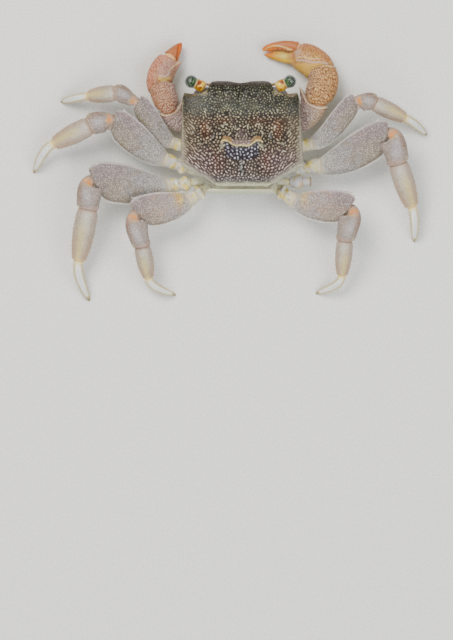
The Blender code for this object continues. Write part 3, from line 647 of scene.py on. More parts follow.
def grown_flecks(x, y):
    """Pale flecks and short streaks, spread as evenly as a growing skin spreads them.

    A fixed noise is filtered again and again to waves of one spacing, and each time its crests
    are sharpened into spots and its troughs flattened. Other spacings, and filters that keep
    waves which run along one direction only, take over where their shares are high.
    """
    grid_x, grid_y = (np.arange(*span, PATTERN_STEP) for span in (PATTERN_X, PATTERN_Y))
    px, py = np.meshgrid(grid_x, grid_y)
    turn_x, turn_y = np.meshgrid(np.fft.fftfreq(len(grid_x), PATTERN_STEP),
                                 np.fft.fftfreq(len(grid_y), PATTERN_STEP))
    a = np.abs(px)
    flank = flank_share(px, py)
    edge = soft(a, 10.6, 11.3) * flank
    fine = (1 - flank) * np.clip(0.9 * soft(py, 7.9, 8.6) + 0.5 * soft(py, -2.0, -6.4)
                                 + 0.6 * patch(a, py, (2.0, 6.6), (1.1, 1.3)), 0, 1)
    large = (1 - flank) * (1 - fine) * np.clip(seat_of_heart(px, py)
                                               + 0.6 * soft(py, 2.0, 4.0) * soft(a, 4.5, 6.0), 0, 1)
    plain = 1 - flank - fine - large
    kinds = [(FLECK_SPACING, None, plain), (FINE_SPACING, None, fine), (LARGE_SPACING, None, large)]
    for side in (LEFT, RIGHT):
        here = px * side > 0
        kinds += [(STREAK_SPACING, STREAK_TURN * side, (flank - edge) * here),
                  (STREAK_SPACING, EDGE_TURN * side, edge * here)]
    filters = []
    for spacing, turn, share in kinds:
        keep = np.exp(-((np.hypot(turn_x, turn_y) * spacing - 1) / 0.6) ** 2)
        if turn is not None:
            way = np.radians(90 + turn)
            keep *= np.exp(-((turn_x * np.cos(way) + turn_y * np.sin(way)) * spacing / 0.85) ** 2)
        filters.append((keep, share))
    cell = np.round(np.stack((px, py), -1) / PATTERN_STEP)
    field = 2 * chance(cell, 5) - 1
    for _ in range(4):
        waves_in = np.fft.fft2(field)
        total = 0
        for keep, share in filters:
            wave = np.fft.ifft2(waves_in * keep).real
            total = total + share * wave / wave.std()
        field = np.tanh(2.0 * total - 1.5)
    u, v = (x - grid_x[0]) / PATTERN_STEP, (y - grid_y[0]) / PATTERN_STEP
    i, j = np.floor(u).astype(int), np.floor(v).astype(int)
    u, v = u - i, v - j
    return ((total[j, i] * (1 - u) + total[j, i + 1] * u) * (1 - v)
            + (total[j + 1, i] * (1 - u) + total[j + 1, i + 1] * u) * v)


STROKES = (  # pale strokes on the back: start, end, half width; each is mirrored to the other side
    ((3.9, -2.1), (3.2, -2.5), 0.14), ((3.1, -2.5), (2.8, -2.3), 0.1),
    ((7.3, -4.9), (7.1, -5.6), 0.11), ((8.7, 1.3), (8.2, 1.6), 0.11), ((8.0, 1.5), (7.5, 1.2), 0.1),
    ((8.1, 2.7), (8.8, 3.0), 0.11), ((5.5, -0.6), (5.9, 0.3), 0.17), ((4.2, 2.3), (3.4, 1.6), 0.16),
    ((4.7, 3.1), (4.3, 2.5), 0.12), ((1.3, -1.5), (1.2, -2.3), 0.12), ((0.9, -0.5), (1.1, 0.0), 0.1),
    ((6.6, -1.8), (6.8, -2.1), 0.22), ((4.0, -0.8), (4.5, -0.5), 0.11), ((9.9, -0.6), (9.5, -1.2), 0.1),
    ((2.2, -0.8), (2.6, -0.4), 0.11), ((9.6, 4.4), (10.1, 4.0), 0.1), ((6.0, 3.2), (6.4, 3.7), 0.1),
)


def strokes(x, y):
    """How far inside any pale stroke a point lies, from its distance to the stroke's line."""
    best = np.zeros(x.shape)
    for start, end, half in STROKES:
        for side in (LEFT, RIGHT):
            far = to_line(x * side, y, (start, end))
            best = np.maximum(best, soft(far, half * 1.3, half * 0.5))
    return best


def shell_colours(x, y):
    """Painted colours of the back: dark ground by region, pale flecks, strokes and margins."""
    a = np.abs(x)
    plan = np.stack((x, y), -1)
    wobble = 0.35 * waves(plan, 1.4, 3)
    level = grown_flecks(x, y) + 0.5 * waves(plan, 1.1, 11) + 0.25 * waves(plan, 0.55, 14)
    inside = soft(level, 0.2, 0.75)
    flank, heart = flank_share(x, y), seat_of_heart(x, y)

    base = painted(
        x[..., None], (62, 60, 47),
        ((62, 49, 37), soft(y + wobble, -5.5, -3.0)),
        ((92, 80, 72), soft(y + wobble, 1.8, 4.5)),
        ((130, 76, 44), 0.85 * patch(a, y + wobble, (7.3, -1.7), (1.0, 2.0))),
        ((112, 66, 40), 0.6 * patch(a, y, (3.4, -3.2), (2.2, 0.9))),
        ((116, 78, 44), 0.6 * patch(a, y + wobble, (8.8, -3.4), (1.0, 1.4))),
        ((124, 74, 58), 0.6 * patch(a, y, (5.0, 5.0), (1.6, 2.4))),
        ((112, 90, 106), 0.6 * patch(a, y, (7.2, 5.0), (1.4, 1.6))),
        ((118, 90, 92), 0.6 * patch(a, y, (7.6, 2.6), (1.6, 1.2))),
        ((128, 134, 114), 0.75 * patch(a, y + wobble, (2.6, -5.7), (1.4, 0.7))),
        ((104, 110, 100), 0.5 * patch(x, y, (-0.9, -5.2), (1.0, 1.4))),
        ((48, 46, 38), 0.6 * patch(a, y, (1.2, -8.2), (3.0, 1.2))),
        ((112, 112, 102), 0.6 * patch(a, y + wobble, (9.2, -5.4), (2.0, 2.0))),
        ((96, 84, 66), 0.5 * soft(waves(plan, 2.3, 33), 0.0, 0.7) * soft(y, -4.0, -6.0)),
        ((86, 92, 92), 0.5 * soft(waves(plan, 1.9, 37), 0.1, 0.7) * soft(y, -3.0, -5.0)),
        ((126, 104, 116), 0.7 * patch(x, y, (0.0, -0.4), (1.4, 1.1))),
        ((62, 48, 62), 0.92 * heart),
        ((52, 60, 78), 0.7 * heart * patch(x, y, (0.1, 2.7), (1.1, 0.7))),
        ((46, 44, 46), 0.9 * patch(x, y, (0.1, 5.8), (0.8, 1.6))),
        ((112, 98, 86), 0.6 * patch(a, y, (1.7, 6.6), (1.0, 1.3))),
        ((126, 112, 94), 0.75 * flank * soft(y, 3.0, -1.0)),
        ((120, 100, 92), 0.75 * flank * soft(y, -1.0, 3.0)),
        ((122, 114, 114), 0.8 * soft(y + wobble, 7.4, 8.8)))

    pale = painted(
        x[..., None], (170, 168, 144),
        ((200, 188, 158), soft(y, -6.5, -3.5)),
        ((216, 202, 192), soft(y, 1.5, 5.0)),
        ((204, 190, 164), flank * soft(y, 4.0, 0.0)),
        ((206, 206, 216), heart),
        ((206, 204, 196), 0.9 * soft(y, 7.6, 8.6)))
    mark = cells(plan, 0.62, 41)[2]
    uneven = 0.58 + 0.5 * mark + 0.14 * waves(plan, 0.31, 8) + 0.14 * waves(plan, 0.8, 2)
    keep = (1 - 0.5 * soft(y, -9.7, -10.3)) * (1 - 0.45 * soft(a, 8.0, 9.5) * soft(y, -2.5, -4.5))
    keep = keep * (0.7 + 0.4 * mark + 0.2 * waves(plan, 0.7, 21)).clip(0, 1)
    ring = hill(level, -0.15, 0.42) * (0.62 - 0.3 * flank) * (1 - 0.4 * soft(y, 7.6, 8.8))
    stroke = strokes(x, y)
    pale_line = painted(base, (206, 202, 182), ((128, 134, 138), patch(a, y, (5.8, -0.2), (0.7, 1.0))))
    paint = layered(
        base,
        (base * 0.3, ring),
        (pale * uneven[..., None], 0.94 * inside * keep),
        (base * 0.5, 0.4 * hill(stroke, 0.25, 0.25)),
        (pale_line, 0.75 * soft(stroke, 0.3, 0.8) * uneven))
    return margins(crescent(paint, x, y, inside), x, y, inside, wobble), inside * keep


def crescent(paint, x, y, inside):
    """Colours with the tan crescent laid over them, its cream lower edge and the dark below it."""
    a = np.abs(x)
    plan = np.stack((x, y), -1)
    below = y - smile_line(x)
    above = y - profile(a, SMILE_TOP) + 0.1 * waves(plan, 0.3, 4)
    band = soft(below, 0.12, -0.04) * soft(above, -0.1, 0.1) * soft(a, 4.15, 3.95)
    lip = soft(below, 0.1, -0.03) * soft(below, -0.34, -0.2) * soft(a, 4.3, 4.1)
    tan = painted(
        paint, (176, 146, 102),
        ((160, 138, 132), soft(a, 2.3, 1.6)),
        ((206, 194, 190), 0.55 * inside * soft(a, 2.4, 1.8)))
    return layered(
        paint,
        (tan * (0.9 + 0.12 * waves(plan, 0.4, 6))[..., None], 0.9 * band),
        ((228, 212, 156), 0.9 * lip),
        ((30, 24, 26), 0.75 * hill(below, 0.24, 0.1) * soft(a, 3.9, 3.4)),
        ((176, 174, 152), 0.7 * patch(a, y, (4.0, 1.75), (0.35, 0.6))))


def margins(paint, x, y, inside, wobble):
    """Colours with the front lobes, rear corners, median worm, flanks, rims and orbits over them."""
    a = np.abs(x)
    slant = (a - 5.2) * 0.52 + (y - 9.9) * 0.86
    corner = soft(slant + 0.4 * wobble, -1.6, -0.7) * soft(a, 5.0, 6.5)
    median = hill(x, 0.1, 0.5) * soft(y, 4.2, 4.8) * soft(y, 8.2, 7.2)
    worm = hill(x - 0.22 * np.sin(3.2 * y), 0.1, 0.26) * soft(y, 4.6, 5.2) * soft(y, 8.0, 7.2)
    broken = soft(waves(np.stack((x, y), -1), 0.5, 9), -0.2, 0.2)
    flank = soft(a + 0.13 * wobble, 10.6 - 0.06 * y, 11.6 - 0.04 * y) * soft(y, -3.5, 1.5)
    lines = 0.5 + 0.5 * np.sin(9.0 * (a + 0.3 * y) + 3 * wobble)
    return layered(
        paint,
        ((112, 98, 94), 0.6 * soft(y, -10.2, -10.5) * (a < 7)),
        ((134, 128, 128), 0.6 * soft(y, -10.65, -10.95) * (a < 7)),
        ((176, 168, 160), 0.75 * corner * (1 - 0.3 * inside)),
        ((30, 28, 28), 0.7 * median * (1 - 0.7 * inside)),
        ((176, 182, 174), 0.7 * worm * broken),
        ((172, 164, 146), flank * (0.55 + 0.3 * lines) * (1 - 0.35 * inside)),
        ((188, 180, 162), 0.7 * soft(a, 11.4, 11.75) * soft(y, -8.6, -7.5)),
        ((200, 198, 174), 0.75 * soft(y + 0.4 * wobble, 8.7, 9.4) * soft(a, 6.8, 5.8)),
        ((214, 212, 184), 0.9 * soft(y, 9.3, 9.6) * soft(a, 6.4, 5.6)),
        ((208, 206, 184), 0.8 * soft(slant + 0.2 * wobble, -0.8, -0.3) * soft(a, 5.4, 6.0)),
        ((176, 162, 130), 0.7 * soft(a, 6.3, 6.9) * soft(y, -8.0, -8.7)))


def outline_place(share, back):
    """Plan of the back shell for a share across and a share from front edge to back edge."""
    a = np.abs(share)
    front, rear = profile(a * 11.5, FRONT_EDGE), profile(a * 12.25, BACK_EDGE)
    y = front + (rear - front) * back
    edge = -8.6 + (4.6 + 8.6) * back
    return share * profile(edge, SIDE_WIDTH), y


SHELL_COLUMNS, SHELL_ROWS, WALL_ROWS = 264, 236, 30


def shell_wall(rim, rx, ry, rim_paint):
    """Wall that runs down from the rim and in under the shell, its face plate and eye hollows.

    rim holds the rim's points, rx and ry their plan before the lean. Gives points and colours.
    """
    a = np.abs(rx)
    face = soft(a, 6.9, 6.3) * soft(ry, -9.0, -9.6)
    orbit = soft(a, 6.2, 6.9) * soft(a, 11.3, 10.9) * soft(ry, -7.4, -7.9)
    depth = np.linspace(0, 1, WALL_ROWS)[1:, None]
    goal = np.stack((rx * FLOOR_SHARE, np.clip(ry, -8.6, 9.55), FLOOR_LEVEL + 0 * rx), -1)
    tuck = (1 - (1 - depth) ** 2.2) * (1 - face) + face * soft(depth, 0.42, 0.8)
    fall = depth * (1 - face) + face * (0.5 * soft(depth, 0.0, 0.45) + 0.5 * soft(depth, 0.72, 1.0))
    wall = rim + (goal - rim) * np.stack((tuck, tuck, fall), -1)
    wall[..., 1] += orbit * 1.15 * np.sin(np.pi * np.clip(fall * 1.9, 0, 1)) ** 0.8
    lip = 0.1 * hill(fall, 0.56, 0.05) * (1 - face) * (1 - orbit)
    wall[..., 0] += np.sign(rx) * lip * (a > 7)
    bead = granules(wall, 0.42, 0.05, 8) * soft(depth, 0.05, 0.15)
    wall[..., 0] += np.sign(rx) * bead * soft(a, 7.0, 10.0)
    wall[..., 1] -= bead * soft(ry, -8.0, -9.0)

    near = cells(wall, 0.5, 12)[0]
    low = soft(depth + 0.12 * waves(wall, 1.6, 3), 0.3, 0.95)
    bent = wall[..., 1] + 0.9 * wall[..., 2] + 0.25 * waves(wall, 1.3, 6)
    crease = np.abs(np.sin(3.4 * bent)) ** 8
    dots = granules(wall * (1.0, 0.3, 1.0), 0.34, 1.0, 31)
    return wall, painted(
        wall, (162, 156, 142),
        ((212, 208, 188), low),
        ((122, 110, 108), 0.5 * soft(near, 0.1, 0.32) * (1 - low)),
        ((196, 186, 162), 0.3 * crease * soft(a, 8.0, 9.5) * (1 - low)),
        ((142, 132, 118), face * soft(depth, 0.6, 0.1)),
        ((196, 188, 170), 0.55 * dots * face),
        ((196, 172, 124), 0.7 * orbit * soft(fall, 0.1, 0.3)),
        (rim_paint, soft(depth, 0.12, 0.0)))


def back_shell():
    """The back as a grid over its plan, and its wall as rings that run down from the rim."""
    share = np.linspace(-1, 1, SHELL_COLUMNS)
    share = share + 0.06 * np.sin(np.pi * share) / np.pi
    back = rows(SHELL_ROWS, 0.25)[:, None]
    x, y = outline_place(share[None], back)
    a, plan = np.abs(x), np.stack((x, y), -1)
    paint, inside = shell_colours(x, y)
    striae = np.abs(np.sin(5.2 * (y - 0.55 * a))) ** 6 * soft(a, 8.6, 10.4) * soft(y, -2.5, 0.0)
    z = (shell_height(x, y) + 0.035 * inside + granules(plan, 0.3, 0.022, 2) + 0.05 * striae
         + 0.02 * waves(plan, 0.9))
    to_edge = np.minimum(np.minimum(1 - np.abs(share)[None], back), 1 - back)
    z = z - 0.1 * soft(to_edge, 0.008, 0.0)
    z = z - 0.12 * soft(z, *EASED_TOP)
    lean = SHELL_LEAN * (y - SHELL_FRONT)
    top, paint = np.stack((x + lean, y, z), -1).reshape(-1, 3), paint.reshape(-1, 3)

    index = np.arange(len(top)).reshape(SHELL_ROWS, SHELL_COLUMNS)
    loop = np.concatenate((index[0, :-1], index[:-1, -1], index[-1, :0:-1], index[:0:-1, 0]))
    wall, wall_paint = shell_wall(top[loop], x.ravel()[loop], y.ravel()[loop], paint[loop])
    count = len(loop)
    below = len(top) + np.arange(wall[..., 0].size).reshape(-1, count)
    ring = np.concatenate((loop[None], below))
    quads = np.stack((index[:-1, :-1], index[1:, :-1], index[1:, 1:], index[:-1, 1:]), -1)
    pole = np.full(count, len(top) + below.size)
    floor = np.stack((ring[-1], np.roll(ring[-1], -1), pole), -1)
    points = np.concatenate((top, wall.reshape(-1, 3), wall[-1].mean(0)[None]))
    colours = np.concatenate((paint, wall_paint.reshape(-1, 3), wall_paint[-1].mean(0)[None]))
    net = np.concatenate((0.4 * (1 - inside).ravel(), np.full(below.size + 1, 0.1)))
    build("carapace_shell", points, [quads.reshape(-1, 4), ring_faces(ring), floor],
          CARAPACE_FINISH, ("carapace",), colours, {"net": net})


back_shell()


# Walking legs

# joints run from the root to the toe's tip; widths of the segments; fullness: the thigh's power
Leg = namedtuple("Leg", "side joints merus fullness carpus propodus dactyl")
LEGS = {
    "left_leg_2": Leg(LEFT, (
        (10.0, 2.4, 3.9), (13.3, 1.2, 4.6), (20.7, -7.0, 7.2), (24.9, -8.8, 7.0),
        (30.5, -8.2, 4.2), (36.0, -7.1, 0.0)), 4.5, 0.6, 3.5, 3.4, 1.8),
    "left_leg_3": Leg(LEFT, (
        (10.8, 6.0, 4.0), (14.7, 4.6, 4.8), (25.5, -3.4, 7.6), (30.0, -2.3, 7.4),
        (37.3, 1.3, 4.3), (41.4, 7.1, 0.0)), 6.5, 0.8, 4.5, 4.1, 2.0),
    "left_leg_4": Leg(LEFT, (
        (10.2, 9.2, 4.4), (14.1, 9.8, 5.1), (29.7, 8.6, 8.0), (30.5, 14.3, 7.8),
        (32.4, 24.7, 4.0), (30.3, 32.7, 0.0)), 8.4, 1.0, 4.6, 4.4, 2.1),
    "left_leg_5": Leg(LEFT, (
        (7.8, 10.8, 4.8), (10.1, 12.4, 6.0), (20.9, 15.2, 8.4), (19.7, 21.8, 7.4),
        (18.4, 28.1, 3.8), (13.0, 31.6, 0.0)), 6.9, 0.8, 3.8, 3.4, 1.8),
    "right_leg_2": Leg(RIGHT, (
        (-10.0, 2.4, 3.9), (-13.9, 1.4, 4.6), (-23.1, -7.2, 7.2), (-26.7, -6.8, 7.0),
        (-32.9, -3.8, 4.2), (-37.3, -0.5, 0.0)), 4.5, 0.6, 3.6, 3.4, 1.8),
    "right_leg_3": Leg(RIGHT, (
        (-10.8, 6.0, 4.0), (-15.5, 5.8, 4.8), (-29.5, -0.8, 7.8), (-31.5, 5.2, 7.6),
        (-34.3, 13.9, 4.3), (-34.8, 20.9, 0.0)), 7.5, 0.85, 4.6, 4.2, 2.0),
    "right_leg_5": Leg(RIGHT, (
        (-7.8, 10.8, 4.8), (-10.5, 12.4, 6.0), (-21.9, 14.2, 8.4), (-20.9, 20.6, 7.4),
        (-20.3, 27.6, 3.8), (-15.1, 31.3, 0.0)), 6.9, 0.8, 3.9, 3.4, 1.8),
}
STUMP = ((-10.1, 9.0, 4.3), (-14.2, 8.9, 4.9))
STUMP_HALF_WIDTH = ((0.0, 1.1), (0.35, 1.35), (0.6, 1.15), (0.75, 0.95), (1.0, 0.9))
COXA_HALF_WIDTH = {"2": 1.3, "3": 1.3, "4": 1.15, "5": 1.05}
BASE_SHAPE = ((0.0, 0.95), (0.3, 1.08), (0.5, 0.85), (0.75, 0.95), (1.0, 1.0))
MERUS_SHAPE = ((0.0, 0.36), (0.07, 0.47), (0.19, 0.64), (0.38, 0.85), (0.64, 1.0),
               (0.83, 0.98), (0.94, 0.82), (1.0, 0.56))
CARPUS_SHAPE = ((0.0, 0.5), (0.25, 0.62), (0.55, 0.85), (0.85, 1.0), (1.0, 0.9))
KNEE_TURN, KNEE_REACH = 0.55, 1.3
PROPODUS_SHAPE = ((0.0, 0.8), (0.12, 0.97), (0.4, 1.0), (0.7, 0.88), (0.9, 0.72),
                  (1.0, 0.58))
DACTYL_SHAPE = ((0.0, 0.9), (0.25, 1.0), (0.55, 0.9), (0.8, 0.6), (0.93, 0.36),
                (1.0, 0.24))
MERUS_DEPTH, CARPUS_DEPTH, PROPODUS_DEPTH, DACTYL_DEPTH = 0.37, 0.62, 0.6, 0.8
MERUS_ROLL, CARPUS_ROLL = 20.0, 10.0
DACTYL_HOOK = 0.35
SPINE_AT, SPINE_LENGTH = 0.88, 1.1
TOOTH_STEP, BEAD_STEP = 0.62, 0.42   # along the thigh's front edge and its rear edge
KNEE_LOBE = 0.46                     # rise of a sharp knee's lobe, as a share of the width
FELT_RADIUS, BRISTLE_RADIUS = 0.016, 0.028


def length_of(form):
    """Length of a tube's path."""
    return np.linalg.norm(np.diff(form.centre, axis=0), axis=1).sum()


def unrolled(form, round_it):
    """Flat places on a tube's skin: along its path, and round it by the given distances."""
    along = form.s * length_of(form)
    return np.stack(np.broadcast_arrays(along, round_it), axis=-1)


def folded(place, way, half, depth, side, long, fold_share, count, sides):
    """Short tube of skin whose width has three folds: 1 - share * (1 + cos(6 pi s)) / 2."""
    s = rows(count)
    points = np.asarray(place) + unit(way) * ((s - 0.5) * 2 * long)[:, None]
    fold = 1 - fold_share * ripple(s * 6 * np.pi)
    return tube(straight(points, way), s, half * fold, depth * fold, side, sides=sides), fold


def joint_skin(name, place, way, half, depth, side, rgb, long=0.55):
    """Soft folded skin between two segments, with painted shade in its folds."""
    form, fold = folded(place, way, half, depth, side, long, 0.08, 14, 40)
    # painted shade: brown laid into the narrow creases of the folds
    paint = painted(form.rings, rgb, ((176, 128, 88), 0.3 * soft(fold[:, None], 0.97, 0.93)))
    piece(name, rounded_off(form.rings, 0.3), SKIN_FINISH, (), paint)


def leg_base(name, start, end, way, coxa, end_width, side):
    """Coxa and basis as one knobbly stalk: porcelain knobs in front and behind, tan between."""
    t = rows(44)
    half = coxa * profile(t, BASE_SHAPE) * (1 - t) + end_width * t
    form = tube(path_between(start - way * GAP / 2, end, way, way, t), t, half,
                half * (1 - 0.2 * t), side, sides=56)
    s = form.s
    slip = 0.07 * np.sin(form.angle * 2 + start[0])
    waist = -0.2 * hill(s + slip, 0.5, 0.07) * soft(np.cos(form.angle + 0.8), -0.6, 0.6)
    knob = 0.34 * hill(s, 0.2, 0.12) * (np.clip(np.cos(form.angle - 0.5), 0, 1) ** 4
                                             + np.clip(-np.cos(form.angle + 0.4), 0, 1) ** 4)
    knob = knob + 0.2 * hill(s, 0.72, 0.1) * np.clip(np.cos(form.angle - 1.2), 0, 1) ** 3
    wave = waves(form.rings, 0.9, 5)
    rings = raised(form, waist + knob + 0.09 * wave)
    top = soft(form.top, -0.2, 0.5)
    cloud = waves(form.rings + (0, 0, start[0]), 0.75, 4)
    patches = waves(form.rings + (0, 0, start[1]), 0.4, 9)
    paint = painted(
        rings, (214, 208, 174),
        ((238, 236, 214), soft(knob + 0.09 * wave, 0.05, 0.28)),
        ((226, 204, 104), 0.8 * soft(cloud + 0.4 * patches, 0.05, 0.55)),
        ((196, 194, 208), 0.7 * soft(0.4 * patches - cloud, 0.1, 0.6) * top),
        ((146, 112, 70), 0.6 * soft(-waist, 0.08, 0.2)),
        ((150, 134, 104), 0.45 * soft(patches, 0.3, 0.7) * top))
    piece(name, lipped(rings, 0.05, 0.2), TIP_FINISH, (name,), paint)


def merus_colours(form, rings, flat, last, side):
    """Colours of a thigh, and how strong its net of pigment is; the last legs have a yellow patch."""
    s, front, rear, top = form.s, form.front, -form.front, form.top
    speck = granules(flat, 0.3, 1.0, 17)
    drift = 0.5 + 0.5 * waves(flat, 3.2, 7)
    cloud = waves(flat, 1.3, 4)
    paint = layered(
        (colour(176, 158, 146) if last else colour(146, 140, 132)) + 0 * rings,
        ((180, 160, 128), 0.5 * drift * soft(s, 0.3, 0.7)),
        ((194, 192, 188), 0.75 * soft(s + 0.06 * cloud, 0.5, 0.12)),
        ((180, 180, 192), 0.5 * hill(s, 0.45, 0.16) * soft(-cloud, -0.3, 0.6)),
        ((150, 132, 142), 0.6 * soft(front, 0.0, 0.7) * soft(s, 0.4, 0.8)),
        ((128, 116, 118), 0.5 * soft(s + 0.05 * cloud, 0.6, 0.9) * (1 - 0.4 * drift)),
        ((204, 156, 128), (0.5 if last else 0.2) * soft(cloud, 0.1, 0.8)),
        ((206, 202, 196), 0.25 * speck * soft(top, -0.1, 0.3)),
        ((176, 164, 118), 0.5 * soft(rear, 0.1, 0.7) * hill(s, 0.62, 0.25) * drift))
    if last:
        mark = patch(s + 0.03 * waves(flat, 0.7, 5), front, (0.21, 0.55), (0.075, 0.5))
        strength = 1.6 if side == LEFT else 0.7
        paint = layered(
            paint,
            ((238, 208, 116), np.clip(strength * mark, 0, 0.95)),
            ((206, 150, 110), 0.4 * hill(s, 0.25, 0.04) * soft(front, -0.5, 0.3)))
    paint = layered(
        paint,
        ((112, 98, 92), 0.5 * hill(rear, 0.8, 0.06) * soft(s, 0.3, 0.6)),
        ((230, 228, 222), 0.9 * soft(rear, 0.87, 0.93)),
        ((220, 214, 210), 0.6 * soft(front, 0.93, 0.97)),
        ((222, 210, 168), 0.4 * soft(s + 0.05 * cloud, 0.12, 0.0)),
        ((150, 126, 104), 0.3 * hill(s, 0.985, 0.012)))
    under = soft(-top, 0.0, 0.35)
    paint = layered(
        paint,
        ((188, 188, 176), 0.75 * under),
        ((150, 146, 128), 0.4 * under * drift))
    net = (0.25 + 0.65 * soft(top, -0.3, 0.3)) * soft(s, 0.0, 0.14) * (0.7 + 0.3 * drift)
    net = net * soft(np.abs(front), 0.94, 0.86)
    return paint, net


def leg_merus(name, leg, ways, mitre):
    """Broad flat thigh: toothed front edge with a spine, beaded rear edge, fine wrinkles."""
    t = rows(150, 0.35)
    path = path_between(leg.joints[1], leg.joints[2], ways[0], ways[1], t)
    half = leg.merus * profile(t, MERUS_SHAPE) ** leg.fullness / 2
    depth = leg.merus * MERUS_DEPTH * profile(t, MERUS_SHAPE) ** 0.6 / 2
    headings = path[1] + np.clip((t - 0.7) / 0.3, 0, 1)[:, None] * (mitre - ways[1])
    form = tube((path[0], unit(headings)), t, half, depth, leg.side, MERUS_ROLL * t**0.5, 104)
    s = form.s
    along = s * length_of(form)
    front, rear, top = form.front, -form.front, form.top
    flat = unrolled(form, half[:, None] * front)
    wrinkle = granules(flat * (1.0, 0.8), 0.36, 0.03, 3) * soft(top, 0.1, 0.5)
    tooth = ripple(along / TOOTH_STEP * 2 * np.pi)
    teeth = 0.11 * tooth**2 * soft(front, 0.93, 0.995) * soft(s, 0.18, 0.4)
    beads = ripple(along / BEAD_STEP * 2 * np.pi)
    beads = 0.08 * beads * soft(rear, 0.95, 0.99)
    groove = -0.09 * hill(front, 0.72, 0.1) * soft(top, 0, 0.3) * soft(s, 0.1, 0.3)
    collar = 0.1 * hill(s, 0.965, 0.02) - 0.12 * hill(s, 0.035, 0.02)
    bottom = -0.08 * hill(front, -0.1, 0.5) * soft(-top, 0.2, 0.8)
    rings = raised(form, wrinkle + teeth + beads + groove + collar + bottom
                   + 0.03 * waves(flat, 1.6, 2))
    row = np.searchsorted(t, SPINE_AT)
    edge = rings[row, 0]
    outward = unit(edge - form.centre[row])
    rings = pulled(rings, edge, 0.75, form.heading[row] * SPINE_LENGTH + outward * 0.4, 1.3)

    paint, net = merus_colours(form, rings, flat, name[-7] == "5", leg.side)
    piece(name, lipped(rings, 0.05, 0.3), LEG_FINISH, (name,), paint, {"net": net})


def leg_carpus(name, leg, ways, mitre):
    """Wrist of the leg: widens outwards, with two lengthwise ridges and wrinkles between."""
    t = rows(84, 0.3)
    half = leg.carpus * profile(t, CARPUS_SHAPE) / 2
    form = tube(path_between(leg.joints[2], leg.joints[3], mitre, ways[3], t, KNEE_REACH), t,
                half, half * CARPUS_DEPTH, leg.side, CARPUS_ROLL * (1 - t), 84)
    s, turn, top = form.s, form.turn, form.top
    flat = unrolled(form, half[:, None] * form.angle)
    ridges = (0.11 * hill(turn, 62, 9) + 0.09 * hill(turn, 112, 9)) * soft(s, 0.12, 0.4)
    beads = granules(flat * (1.0, 0.6), 0.34, 0.045, 5) * soft(top, 0.0, 0.4)
    rim = 0.05 * hill(s, 0.96, 0.025) - 0.05 * hill(s, 0.9, 0.03)
    back = -ways[1] + (form.heading @ ways[1])[:, None] * form.heading
    facing = np.clip((form.out * unit(back)[:, None]).sum(-1), 0, 1)
    bend = np.clip(1 - ways[1] @ ways[3], 0, 1) ** 2
    lobe = KNEE_LOBE * leg.carpus * bend * facing**1.4 * soft(s, -0.12, 0.24) * soft(s, 0.92, 0.4)
    rings = raised(form, ridges + beads + rim + lobe + 0.03 * waves(flat, 1.2, 4))
    drift = 0.5 + 0.5 * waves(flat, 1.8, 8)
    paint = painted(
        rings, (164, 150, 140),
        ((198, 196, 200), 0.6 * hill(turn, 90, 26) * hill(s, 0.62, 0.28)))
    uneven = 0.5 + 0.8 * waves(flat, 0.5, 12) + 0.4 * waves(flat, 1.1, 15)
    knee = np.clip(patch(turn, s, (88, 0.14), (66, 0.13)) * (0.4 + uneven), 0, 1)
    paint = layered(
        paint,
        ((214, 166, 112), 0.7 * knee * (1 if bend > 0.5 else 0.7)),
        ((216, 142, 64), np.clip(1.6 * knee - 0.7, 0, 0.75) * min(bend + 0.35, 1)),
        ((212, 192, 118), 0.6 * patch(turn, s, (102, 0.25), (22, 0.05)) * uneven.clip(0, 1)),
        ((196, 162, 142), 0.6 * soft(s, 0.86, 0.97)),
        ((150, 112, 88), 0.5 * soft(drift, 0.5, 0.9) * hill(turn, 30, 30)),
        ((212, 200, 152), 0.6 * hill(turn, 20, 20) * hill(s, 0.9, 0.1)),
        ((190, 188, 176), 0.7 * soft(-top, 0.0, 0.4)))
    net = 0.5 * soft(top, -0.2, 0.3) * soft(s, 0.1, 0.35)
    piece(name, lipped(rings, 0.05, 0.25), LEG_FINISH, (name,), paint, {"net": net})
    joint_skin(name[:-6] + "knee_skin", leg.joints[2], unit(ways[1] + mitre), half[0] * 0.95,
               half[0] * CARPUS_DEPTH, leg.side, (196, 168, 140))
    if bend > 0.4:
        fold = leg.joints[2] + 0.27 * leg.carpus * unit(back[0]) + 0.1 * leg.carpus * mitre
        joint_skin(name[:-6] + "knee_fold", fold, mitre, 0.26 * leg.carpus,
                   half[0] * CARPUS_DEPTH * 0.9, leg.side, (176, 162, 150), 0.7)


